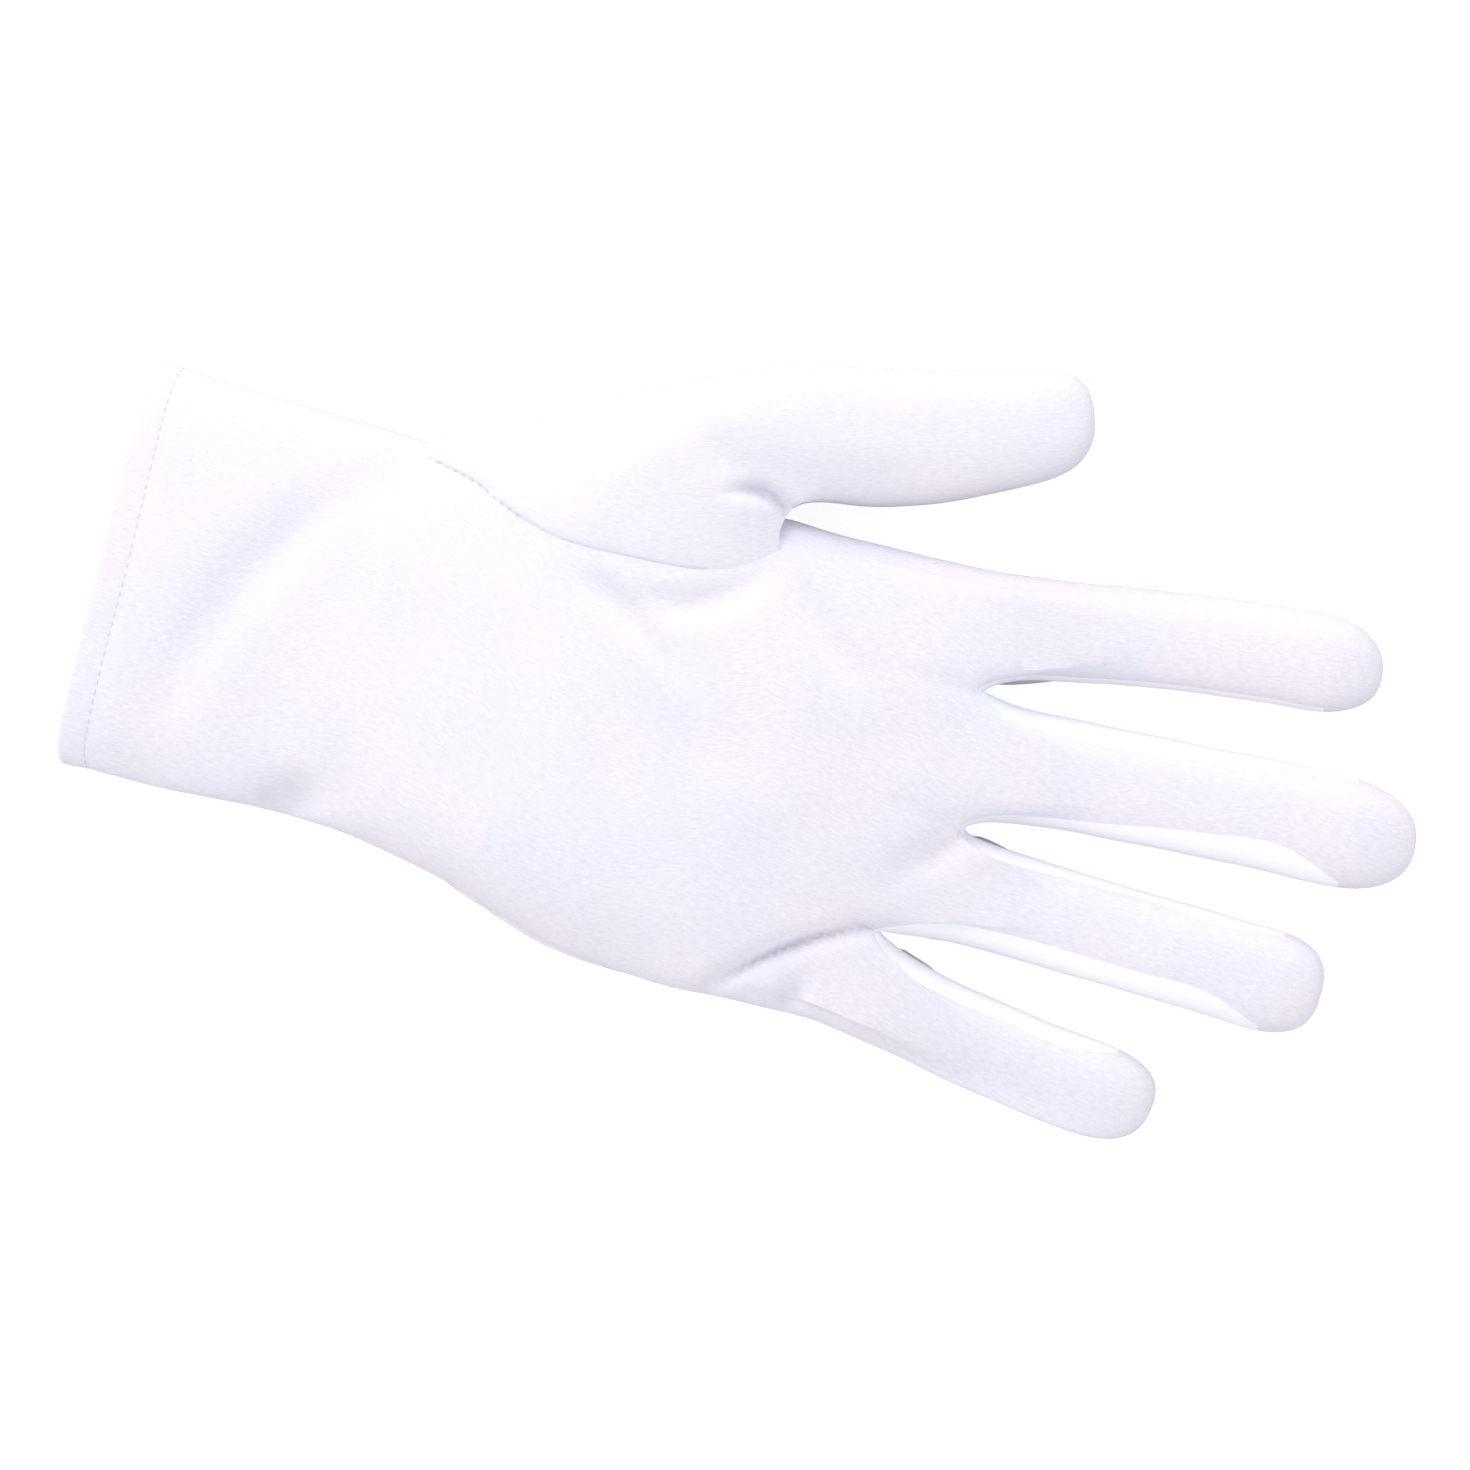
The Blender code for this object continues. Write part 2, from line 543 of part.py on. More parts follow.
def make_skin():
    """Build the whole surface: trank, fingers, fourchettes and thumb."""
    skin = Skin()
    palm_faces = 4 * FINGER_FACES
    back_first = palm_faces + SIDE_FACES
    body = body_grid()
    curves = crotch_curves()
    end = root_row(body[-1], curves)
    change = end - body[-1]
    for r, share in enumerate(body_rows()):
        body[r] += change * smoothstep((share - HUMP_START) / (1.0 - HUMP_START))
    body = press_folds(body, "trank")
    body[..., 2] = np.maximum(body[..., 2], 0.0)
    end = body[-1]
    body_ids = skin.add(body)
    web_ids = [skin.add(curve[1:-1]) for curve in curves]

    notch, web = WRIST_ROWS, WRIST_ROWS + THUMB_ROWS
    columns = np.arange(body.shape[1])
    strip = THUMB_STRIP_FACES
    last_back = back_first + palm_faces
    in_hole = (columns < strip) | (columns >= last_back - strip)
    for r in range(len(body_ids) - 1):
        keep = ~in_hole if notch <= r < web else None
        between_rows(skin, "trank", body_ids[r], body_ids[r + 1], keep)

    names = list(FINGERS)
    for i, name in enumerate(names):
        palm_cols = np.arange(i * FINGER_FACES, (i + 1) * FINGER_FACES + 1)
        back_cols = back_first + np.arange((3 - i) * FINGER_FACES, (4 - i) * FINGER_FACES + 1)
        far = web_ids[i] if i < 3 else body_ids[-1][palm_faces + 1:back_first]
        near = web_ids[i - 1][::-1] if i > 0 else body_ids[-1][last_back + 1:]
        root_ids = np.concatenate([body_ids[-1][palm_cols], far, body_ids[-1][back_cols], near])
        root_points = np.array(skin.points)[root_ids]
        root = 0.5 * (np.array(CROTCHES[i]) + CROTCHES[i + 1]) * (PALM_LENGTH, PALM_WIDTH)
        rings, places, pole = finger_rings(name, root, FINGER_ROWS)
        steep = np.zeros(len(root_ids))
        ring_no = np.arange(len(root_ids))
        k, m = FINGER_FACES, SIDE_FACES
        if i < 3:
            steep[(ring_no >= k) & (ring_no <= k + m)] = 1.0
        if i > 0:
            steep[(ring_no >= 2 * k + m) | (ring_no == 0)] = 1.0
        offset = root_points - rings[0]
        for r, place in enumerate(places):
            t = min(1.0, place / ROOT_BLEND)
            fade = blend(1.0 - smoothstep(t), (1.0 - t) ** 3, steep)
            rings[r] += offset * fade[:, None]
        rings = press_folds(rings[1:], "trank")
        rings[..., 2] = np.maximum(rings[..., 2], 0.0)
        ids = np.vstack([root_ids[None, :], skin.add(rings)])
        pole_id = skin.add(pole[None, :])[0]
        far_wall = (ring_no >= k) & (ring_no < k + m) & (i < 3)
        near_wall = (ring_no >= 2 * k + m) & (i > 0)
        last = FINGER_ROWS + 1
        for r in range(len(ids) - 1):
            if r < last:
                between_rows(skin, "trank", ids[r], ids[r + 1], ~(far_wall | near_wall))
                if i < 3:
                    between_rows(skin, f"fourchette_{name}_{names[i + 1]}", ids[r], ids[r + 1], far_wall)
                if i > 0:
                    between_rows(skin, f"fourchette_{names[i - 1]}_{name}", ids[r], ids[r + 1], near_wall)
            else:
                between_rows(skin, "trank", ids[r], ids[r + 1])
        skin.fan("trank", ids[-1], pole_id)

    palm_seam = body_ids[notch:web + 1, strip]
    back_seam = body_ids[notch:web + 1, last_back - strip]
    around = np.concatenate([np.arange(last_back - strip, body.shape[1]), np.arange(0, strip + 1)])
    web_end = body_ids[web, around][::-1]
    notch_end = body_ids[notch, around]
    loop = np.concatenate([palm_seam[:-1], web_end[:-1], back_seam[::-1][:-1], notch_end[:-1]])
    rings, tip = thumb_rings(np.array(skin.points)[loop])
    rings[1:] = press_folds(rings[1:], "thumb")
    ids = np.vstack([loop[None, :], skin.add(rings[1:])])
    tip_id = skin.add(tip[None, :])[0]
    for r in range(len(ids) - 1):
        between_rows(skin, "thumb", ids[r], ids[r + 1])
    skin.fan("thumb", ids[-1], tip_id)
    return skin, body_ids


def drawn_in(points, normals, faces):
    """Move each rim point of a piece over the piece's own faces until it clears its seam by SEAM_GAP."""
    edges = {}
    for face in faces:
        for a, b in zip(face, face[1:] + face[:1]):
            key = (min(a, b), max(a, b))
            edges[key] = edges.get(key, 0) + 1
    rim = {i for edge, uses in edges.items() if uses == 1 for i in edge}
    pull = {i: np.zeros(3) for i in rim}
    for face in faces:
        middle = np.mean([points[i] for i in face], axis=0)
        for i in face:
            if i in rim:
                away = middle - points[i]
                pull[i] += away / np.linalg.norm(away)
    moved = points.copy()
    for i, away in pull.items():
        away = away / np.linalg.norm(away)
        clear = np.linalg.norm(away - normals[i] * np.dot(away, normals[i]))
        moved[i] = points[i] + SEAM_GAP * away / max(clear, SHARPEST_SEAM)
    return moved


def cloth_wall(points, normals, faces, outer, inner):
    """A closed wall of cloth: the faces pushed in by outer and by inner, joined at the rim.

    Each rim face is split along the diagonal that starts at its lower point number, so that two
    pieces that meet at a seam have rims of the same form.
    """
    used = sorted({i for face in faces for i in face})
    number = {old: new for new, old in enumerate(used)}
    count = len(used)
    verts = [points[i] - normals[i] * outer for i in used]
    verts += [points[i] - normals[i] * inner for i in used]
    out = []
    directed = set()
    for face in faces:
        ring = [number[i] for i in face]
        out.append(tuple(ring))
        out.append(tuple(i + count for i in reversed(ring)))
        directed.update(zip(ring, ring[1:] + ring[:1]))
    for a, b in sorted(directed):
        if (b, a) in directed:
            continue
        if a < b:
            out += [(b, a, b + count), (a, a + count, b + count)]
        else:
            out += [(b, a, a + count), (b, a + count, b + count)]
    return verts, out


def add_piece(collection, name, verts, faces, material):
    """One named mesh object of the glove."""
    mesh = bpy.data.meshes.new(name)
    mesh.from_pydata([tuple(v) for v in verts], [], faces)
    mesh.validate()
    mesh.materials.append(material)
    mesh.shade_smooth()
    mesh.set_sharp_from_angle(angle=math.radians(SHARP_EDGE))
    piece = bpy.data.objects.new(name, mesh)
    collection.objects.link(piece)
    return piece


def cloth_material(name, colour, roughness):
    """A plain matt cloth."""
    material = bpy.data.materials.new(name)
    material.use_nodes = True
    shader = material.node_tree.nodes["Principled BSDF"]
    shader.inputs["Base Color"].default_value = (*colour, 1.0)
    shader.inputs["Roughness"].default_value = roughness
    shader.inputs["Metallic"].default_value = 0.0
    return material


def build():
    """Clear the scene and make the glove."""
    for item in list(bpy.data.objects):
        bpy.data.objects.remove(item, do_unlink=True)
    collection = bpy.data.collections.new("costume_glove")
    bpy.context.scene.collection.children.link(collection)
    skin, body_ids = make_skin()
    points = np.array(skin.points)
    normals = skin.normals()
    used = sorted({i for faces in skin.faces.values() for face in faces for i in face})
    low, high = points[used].min(axis=0), points[used].max(axis=0)
    points -= np.array([0.5 * (low[0] + high[0]), 0.5 * (low[1] + high[1]), low[2]])

    for name, faces in skin.faces.items():
        faces = [tuple(int(i) for i in face) for face in faces]
        material = cloth_material(name + "_knit", CLOTH_COLOUR, CLOTH_ROUGHNESS)
        place = points if name == "trank" else drawn_in(points, normals, faces)
        verts, walls = cloth_wall(place, normals, faces, 0.0, WALL)
        add_piece(collection, name, verts, walls, material)

    band = Skin()
    between_rows(band, "cuff_hem", body_ids[0], body_ids[1])
    faces = [tuple(int(i) for i in face) for face in band.faces["cuff_hem"]]
    gap = WALL + SEAM_GAP
    verts, walls = cloth_wall(points, normals, faces, gap, gap + WALL)
    hem_knit = cloth_material("cuff_hem_knit", CLOTH_COLOUR, CLOTH_ROUGHNESS)
    add_piece(collection, "cuff_hem", verts, walls, hem_knit)


build()
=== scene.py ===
import math

import bpy
import numpy as np
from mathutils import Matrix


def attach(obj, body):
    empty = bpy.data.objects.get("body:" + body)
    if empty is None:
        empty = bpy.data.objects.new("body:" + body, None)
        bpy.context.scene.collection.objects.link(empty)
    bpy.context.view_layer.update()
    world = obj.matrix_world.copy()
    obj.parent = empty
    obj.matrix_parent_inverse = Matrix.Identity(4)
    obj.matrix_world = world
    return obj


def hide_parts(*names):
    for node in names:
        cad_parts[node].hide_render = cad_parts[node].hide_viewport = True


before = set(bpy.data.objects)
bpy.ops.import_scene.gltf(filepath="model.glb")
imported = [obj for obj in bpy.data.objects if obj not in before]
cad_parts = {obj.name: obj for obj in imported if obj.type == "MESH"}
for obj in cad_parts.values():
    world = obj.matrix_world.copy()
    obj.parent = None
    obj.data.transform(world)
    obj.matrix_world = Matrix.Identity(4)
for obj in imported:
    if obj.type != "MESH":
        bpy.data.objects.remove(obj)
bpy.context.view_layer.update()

# The camera: straight above the glove, which lies palm up with its fingers to the right and its thumb
# at the top. A long lens keeps the heights from spreading the outline.
VIEW_CENTRE = (-0.00245, -0.0082)
VIEW_WIDTH = 0.25725
VIEW_TURN = 11.2
LENS = 200.0
SENSOR = 36.0

camera_data = bpy.data.cameras.new("camera")
camera_data.lens = LENS
camera_data.sensor_width = SENSOR
camera_data.clip_start = 0.01
camera = bpy.data.objects.new("camera", camera_data)
camera.location = (*VIEW_CENTRE, VIEW_WIDTH * LENS / SENSOR)
camera.rotation_euler = (0.0, 0.0, math.radians(VIEW_TURN))
bpy.context.scene.collection.objects.link(camera)
bpy.context.scene.camera = camera


# The studio: a white table in a light tent, whose walls are brighter than its top and brightest towards
# the broad soft lamp at the upper left of the picture. The table comes out pure white and the cloth
# only a shade below it.
ROOM = "#FBFCFE"
TENT_TOP = 0.55
TENT_WALL = 2.15
TENT_LEAN = 0.17
LAMP_PLACE = (-0.95, 0.92, 1.66)
LAMP_SIZE = 1.60
LAMP_POWER = 19.5
TABLE = "#A4A4A4"
TABLE_GLOW = 0.88
TABLE_SIZE = 6.0
TABLE_GAP = 0.0002


def linear(colour):
    """An sRGB hex colour as linear red, green and blue with full alpha."""
    parts = np.array([int(colour[i:i + 2], 16) for i in (1, 3, 5)]) / 255.0
    parts = np.where(parts <= 0.04045, parts / 12.92, ((parts + 0.055) / 1.055) ** 2.4)
    return (*parts.tolist(), 1.0)


def add_node(tree, kind, settings=None, values=None, links=None):
    """Add a node of a kind, with its settings, its inputs' values and the links into its inputs.

    An input goes by its name or, where a node has several of one name, by its number.
    """
    node = tree.nodes.new(kind)
    for name, value in (settings or {}).items():
        setattr(node, name, value)
    for name, value in (values or {}).items():
        node.inputs[name].default_value = value
    for name, source in (links or {}).items():
        tree.links.new(source, node.inputs[name])
    return node


def surface_mesh(name, points, faces, material):
    """A named mesh object from an array of points and lists of faces, smooth shaded."""
    mesh = bpy.data.meshes.new(name)
    mesh.from_pydata(points.tolist(), [], faces)
    mesh.materials.append(material)
    mesh.shade_smooth()
    piece = bpy.data.objects.new(name, mesh)
    bpy.context.scene.collection.objects.link(piece)
    return piece


scene = bpy.context.scene
scene.view_settings.view_transform = "Standard"
room = bpy.data.worlds.new("white_room")
room.use_nodes = True
background = room.node_tree.nodes["Background"]
background.inputs["Color"].default_value = linear(ROOM)

# Strength is TENT_TOP + TENT_WALL (1 - z)^2 (1 + TENT_LEAN d), where z is how far the direction points
# up, 0 below the horizon, and d how far it points towards the lamp
way = add_node(room.node_tree, "ShaderNodeTexCoord").outputs["Generated"]
way_up = add_node(room.node_tree, "ShaderNodeSeparateXYZ", links={"Vector": way}).outputs["Z"]
level = add_node(room.node_tree, "ShaderNodeMapRange", {"clamp": True}, {"To Min": 1.0, "To Max": 0.0},
                 {"Value": way_up})
wall = add_node(room.node_tree, "ShaderNodeMath", {"operation": "POWER"}, {1: 2.0},
                {0: level.outputs["Result"]})
lamp_away = math.hypot(*LAMP_PLACE[:2])
towards = add_node(room.node_tree, "ShaderNodeVectorMath", {"operation": "DOT_PRODUCT"},
                   {1: (LAMP_PLACE[0] / lamp_away, LAMP_PLACE[1] / lamp_away, 0.0)}, {0: way})
lean = add_node(room.node_tree, "ShaderNodeMath", {"operation": "MULTIPLY_ADD"},
                {1: TENT_LEAN * TENT_WALL, 2: TENT_WALL}, {0: towards.outputs["Value"]})
strength = add_node(room.node_tree, "ShaderNodeMath", {"operation": "MULTIPLY_ADD"}, {2: TENT_TOP},
                    {0: wall.outputs["Value"], 1: lean.outputs["Value"]})
room.node_tree.links.new(strength.outputs["Value"], background.inputs["Strength"])
scene.world = room

lamp_data = bpy.data.lights.new("soft_lamp", "AREA")
lamp_data.shape = "DISK"
lamp_data.size = LAMP_SIZE
lamp_data.energy = LAMP_POWER
lamp = bpy.data.objects.new("soft_lamp", lamp_data)
lamp.location = LAMP_PLACE
lamp.rotation_euler = (math.atan2(lamp_away, LAMP_PLACE[2]), 0.0,
                       math.atan2(LAMP_PLACE[1], LAMP_PLACE[0]) + math.pi / 2)
scene.collection.objects.link(lamp)

# White laminate, satin: it gives back a soft even white with no texture.
laminate = bpy.data.materials.new("white_laminate")
laminate.use_nodes = True
shader = laminate.node_tree.nodes["Principled BSDF"]
shader.inputs["Base Color"].default_value = linear(TABLE)
shader.inputs["Roughness"].default_value = 0.8
shader.inputs["Emission Color"].default_value = linear("#FFFFFF")
shader.inputs["Emission Strength"].default_value = TABLE_GLOW
corner = 0.5 * TABLE_SIZE
table_points = np.array([(-corner, -corner, -TABLE_GAP), (corner, -corner, -TABLE_GAP),
                         (corner, corner, -TABLE_GAP), (-corner, corner, -TABLE_GAP)])
table = surface_mesh("table", table_points, [(0, 1, 2, 3)], laminate)
# The table's glow keeps its own shadows pale and doesn't fall on the glove
own_light = bpy.data.collections.new("lit_by_the_table")
own_light.objects.link(table)
table.light_linking.receiver_collection = own_light


# The trank: palm and back cut in one from knit cloth and folded at the little finger's side, with the
# fronts and backs of the four fingers on it. It lies with its back pressed flat and its palm puffed up.
# Lengths are in metres; shares are of the named lengths. CLOTH is the thickness of the knit, and
# ROW_ORIGIN is where the frame's origin lies from the middle of the cuff's end.
PALM_LENGTH = 0.150
CUFF_WIDTH = 0.0722
PALM_WIDTH = 0.0845
CUFF_HEIGHT = 0.021
PALM_HEIGHT = 0.028
ROOT_HEIGHT = 0.019
HEM_WIDTH = 0.0052
CUFF_SLANT = 0.0029
CUFF_ROUNDING = 0.0012
CUFF_CORNER_POWER = 12
CLOTH = 0.0007
ROW_ORIGIN = np.array([0.116353, 0.000397, 0.0])

FINGER_FACES = 16
SIDE_FACES = 12
STRIP_FACES = 4
HEM_ROWS = 8
WRIST_ROWS = 44
THUMB_ROWS = 62
KNUCKLE_ROWS = 60
FINGER_ROWS = 78
TIP_ROWS = 14

# flare goes from CUFF_WIDTH at 0 to PALM_WIDTH at 1 and swell from CUFF_HEIGHT to PALM_HEIGHT; centre is
# how far the body's middle lies to the side, in shares of PALM_WIDTH
BODY_COLUMNS = ("along", "flare", "centre", "swell")
BODY = (
    (0.00, 0.00, 0.009, 0.00),
    (0.11, -0.10, -0.007, 0.10),
    (0.25, -0.21, -0.019, 0.14),
    (0.34, -0.20, -0.034, 0.30),
    (0.47, 0.31, -0.059, 0.66),
    (0.59, 0.89, -0.095, 0.95),
    (0.71, 1.00, -0.122, 1.00),
    (0.84, 0.87, -0.138, 0.78),
    (0.90, 0.88, -0.144, 0.55),
    (1.02, 1.15, -0.168, 0.20),
)
# Where the fingers part, from the thumb's side on, in shares of the palm's length and width
CROTCHES = np.array([(1.000, 0.345), (1.025, 0.096), (1.036, -0.183), (0.960, -0.430), (0.930, -0.655)])

# Each finger's length, width, thickness, aim in degrees from X towards Y, bow towards the thumb in
# shares of its length, bluntness, and the length of its tip in shares of its width
FINGERS = {
    "index": (0.0709, 0.0176, 0.0150, 4.7, 0.024, 2.3, 0.80),
    "middle": (0.0793, 0.0198, 0.0155, -0.4, 0.008, 2.5, 0.88),
    "ring": (0.0733, 0.0182, 0.0150, -5.2, 0.000, 2.9, 0.72),
    "little": (0.0572, 0.0170, 0.0138, -12.0, -0.022, 2.6, 0.80),
}
# The palm seams on the thumb's and on the little finger's side, in shares of half the finger's width,
# at SEAM_STATIONS along the fourchette
SEAM_STATIONS = (0.0, 0.3, 0.6, 0.85, 1.0)
FINGER_SEAMS = {
    "index": ((0.90, 0.90, 0.90, 0.90, 0.90), (0.92, 0.92, 0.92, 0.92, 0.94)),
    "middle": ((0.72, 0.64, 0.74, 0.86, 0.94), (0.90, 0.80, 0.58, 0.52, 0.92)),
    "ring": ((0.74, 0.78, 0.86, 0.78, 0.92), (0.68, 0.57, 0.57, 0.58, 0.92)),
    "little": ((0.70, 0.63, 0.66, 0.68, 0.92), (0.90, 0.90, 0.90, 0.90, 0.90)),
}
FINGER_PROFILE_COLUMNS = ("along", "width", "thickness")
FINGER_PROFILE = (
    (0.00, 1.06, 1.10),
    (0.20, 0.99, 1.02),
    (0.45, 0.97, 0.98),
    (0.70, 0.98, 0.97),
    (1.00, 1.00, 0.95),
)

# The thumb's seam: how far it lies in from the glove's edge, as a share of its depth, from its start to
# its end along the glove. On the back it goes only BACK_SEAM_SHARE as deep.
THUMB_SEAM_DEPTH = 0.0118
THUMB_SEAM_START = 0.341
THUMB_SEAM_END = 0.765
BACK_SEAM_SHARE = 0.50
THUMB_SEAM_COLUMNS = ("along", "inward")
THUMB_SEAM = (
    (0.00, 0.02),
    (0.15, 0.30),
    (0.29, 0.72),
    (0.38, 0.90),
    (0.48, 0.99),
    (0.58, 1.00),
    (0.67, 0.98),
    (0.81, 0.86),
    (0.91, 0.64),
    (0.97, 0.40),
    (1.00, 0.24),
)

# The body's rows lean towards the line of the roots from LEAN_START on and part into four humps from
# HUMP_START on, in shares of the way there
LEAN_START = 0.70
HUMP_START = 0.80
SECTION_SQUARENESS = 2.4
FINGER_SQUARENESS = 2.5
SIDE_SHARE = 0.93
MIDDLE_HEIGHT = 0.46
FLAT_PRESS = 0.35
HUMP_SQUARENESS = 2.4
CROTCH_TOP = 0.95
CROTCH_BOTTOM = 0.14
WEB_BULGE = 0.0012
ROOT_BLEND = 0.014
ROOT_SLOPE_BLEND = 0.028
# A finger's cloth goes over to its steep wall within CORNER_FACES. Where it has no neighbour the wall
# counts as NO_WALL faces away, which is more than a ring has.
CORNER_FACES = 3
NO_WALL = 100
# RING_SPACING packs a finger's rings towards its root. On its back the seams lie at BACK_SEAM_LEAST or
# further out, and they end SEAM_END_ANGLE degrees round the tip. The tip gets lower by TIP_LIFT and
# TIP_LIFT_POWER, and its last point lies at POLE_LIFT of the middle height.
RING_SPACING = 1.15
BACK_SEAM_LEAST = 0.8
SEAM_END_ANGLE = 18.0
TIP_LIFT = 0.25
TIP_LIFT_POWER = 0.35
POLE_LIFT = 0.95

# Folds in the cloth of the palm side. start, middle and end are places along and across the glove in
# shares of PALM_LENGTH and PALM_WIDTH; depth is how far it sinks, width how far its walls reach, and
# ridge how much of the cloth it pushes up on both sides. A fold leaves the cloth below FOLD_LOWEST
# alone and works in full from FOLD_RISE above that. Its depth is a sine along it, cut by FOLD_FADE at
# each end.
FOLD_POINTS = 49
FOLD_FADE = 0.05
FOLD_LOWEST = 0.007
FOLD_RISE = 0.006
FOLD_COLUMNS = ("start", "middle", "end", "depth", "width", "ridge")
TRANK_FOLDS = (
    ((0.352, 0.352), (0.185, 0.060), (0.089, -0.363), 0.0015, 0.0058, 0.5),
    ((0.351, 0.341), (0.298, 0.178), (0.265, 0.019), 0.0005, 0.0060, 0.6),
    ((0.236, -0.439), (0.275, -0.404), (0.311, -0.370), 0.0044, 0.0044, 0.2),
    ((0.064, -0.410), (0.110, -0.398), (0.177, -0.413), 0.0012, 0.0045, 0.2),
    ((0.552, 0.172), (0.625, 0.099), (0.707, -0.025), 0.0020, 0.0034, 0.6),
    ((0.793, 0.259), (0.837, 0.144), (0.908, 0.034), 0.0016, 0.0048, 0.6),
    ((0.755, -0.665), (0.872, -0.490), (1.000, -0.408), 0.0036, 0.0017, 0.1),
    ((0.324, -0.509), (0.539, -0.624), (0.779, -0.645), 0.0080, 0.0112, 0.0),
    ((0.960, -0.630), (1.156, -0.713), (1.310, -0.765), 0.0030, 0.0055, 0.0),
    ((0.863, -0.624), (0.883, -0.596), (0.894, -0.545), 0.0020, 0.0022, 0.2),
    ((1.056, -0.165), (1.018, -0.236), (0.965, -0.325), 0.0026, 0.0036, 0.4),
    ((0.607, 0.160), (0.690, 0.156), (0.770, 0.268), 0.0018, 0.0034, 0.4),
    ((1.023, 0.070), (0.950, -0.040), (0.863, -0.113), 0.0004, 0.0070, 0.6),
    ((0.577, -0.319), (0.712, -0.145), (0.893, -0.060), 0.0005, 0.0090, 0.8),
    ((0.752, -0.401), (0.857, -0.271), (0.997, -0.146), 0.0004, 0.0070, 0.8),
    ((0.288, -0.184), (0.373, -0.302), (0.494, -0.428), 0.0005, 0.0080, 0.8),
    ((1.127, 0.343), (1.142, 0.285), (1.142, 0.217), 0.0003, 0.0040, 0.6),
    ((1.126, -0.232), (1.138, -0.276), (1.138, -0.318), 0.0003, 0.0040, 0.6),
)


def column(table, names, name):
    """One named column of a table, as an array."""
    return np.array([row[names.index(name)] for row in table], dtype=float)


def cubic(a, b, leaving, arriving, t):
    """From a to b as t goes from 0 to 1, with the given rates of change at both ends."""
    return ((2 * t**3 - 3 * t**2 + 1) * a + (t**3 - 2 * t**2 + t) * leaving
            + (3 * t**2 - 2 * t**3) * b + (t**3 - t**2) * arriving)


def through(places, values, at):
    """A smooth curve through the given values: cubic pieces whose slopes come from the neighbours."""
    places = np.asarray(places, dtype=float)
    values = np.asarray(values, dtype=float)
    slopes = np.gradient(values, places)
    at = np.clip(np.asarray(at, dtype=float), places[0], places[-1])
    i = np.clip(np.searchsorted(places, at) - 1, 0, len(places) - 2)
    step = places[i + 1] - places[i]
    return cubic(values[i], values[i + 1], step * slopes[i], step * slopes[i + 1], (at - places[i]) / step)


def curve(table, names, name, at):
    """A smooth curve through one named column of a table, over its column along."""
    return through(column(table, names, "along"), column(table, names, name), at)


def smoothstep(t):
    """0 to 1 with level ends."""
    t = np.clip(t, 0.0, 1.0)
    return t * t * (3.0 - 2.0 * t)


def blend(a, b, t):
    """From a to b as t goes from 0 to 1."""
    return a + (b - a) * t


def unit(vectors):
    """Vectors brought to length 1; one without length stays as it is."""
    return vectors / np.maximum(np.linalg.norm(vectors, axis=-1, keepdims=True), 1e-12)


def arch(share, squareness):
    """Height of a superellipse at a share of its half width."""
    return (1.0 - np.clip(np.abs(share), 0.0, 1.0) ** squareness) ** (1.0 / squareness)


def arch_angle(share, squareness):
    """The superellipse's angle at which it reaches a share of its half width."""
    return np.arccos(np.clip(share, 0.0, 1.0) ** (squareness / 2.0))


def round_sections(palm, back, faces, height, squareness):
    """Closed sections, one a row: palm arc, far side wall, back arc and near side wall.

    palm and back are arrays of sideways shares, rows by columns. Each point lies on a superellipse
    whose lower half is deeper and cut off at height 0, where the cloth is pressed flat.
    """
    middle = MIDDLE_HEIGHT * height
    low = middle * (1.0 + FLAT_PRESS)

    def wall(share_up, share_down):
        top = arch_angle(share_up, squareness)[:, None]
        bottom = -arch_angle(share_down, squareness)[:, None]
        angle = blend(top, bottom, np.arange(1, faces) / faces)
        sideways = np.cos(angle) ** (2.0 / squareness)
        lift = np.sign(np.sin(angle)) * np.abs(np.sin(angle)) ** (2.0 / squareness)
        return sideways, np.where(lift > 0, middle + (height - middle) * lift, middle + low * lift)

    far_y, far_z = wall(-palm[:, -1], -back[:, 0])
    near_y, near_z = wall(palm[:, 0], back[:, -1])
    palm_z = middle + (height - middle) * arch(palm, squareness)
    back_z = middle - low * arch(back, squareness)
    sideways = np.hstack([palm, -far_y, back, near_y[:, ::-1]])
    lift = np.hstack([palm_z, far_z, back_z, near_z[:, ::-1]])
    return sideways, np.maximum(lift, 0.0)


def body_size(along):
    """Half width, sideways middle and height of the trank at a share of PALM_LENGTH."""
    flare, centre, swell = (curve(BODY, BODY_COLUMNS, name, along) for name in BODY_COLUMNS[1:])
    width = blend(CUFF_WIDTH, PALM_WIDTH, flare)
    return 0.5 * width, centre * PALM_WIDTH, blend(CUFF_HEIGHT, PALM_HEIGHT, swell)


def thumb_seam_share(along, depth_share):
    """Sideways share of the column that the thumb's seam follows, at shares of PALM_LENGTH."""
    natural = SIDE_SHARE * (1.0 - 2.0 * STRIP_FACES / palm_faces)
    half, _, _ = body_size(along)
    place = (along - THUMB_SEAM_START) / (THUMB_SEAM_END - THUMB_SEAM_START)
    inward = curve(THUMB_SEAM, THUMB_SEAM_COLUMNS, "inward", place)
    seam = SIDE_SHARE - inward * depth_share * THUMB_SEAM_DEPTH / half
    near = np.minimum(smoothstep(1.0 + place * 3.0), smoothstep(1.0 - (place - 1.0) * 3.0))
    return blend(natural, seam, near)


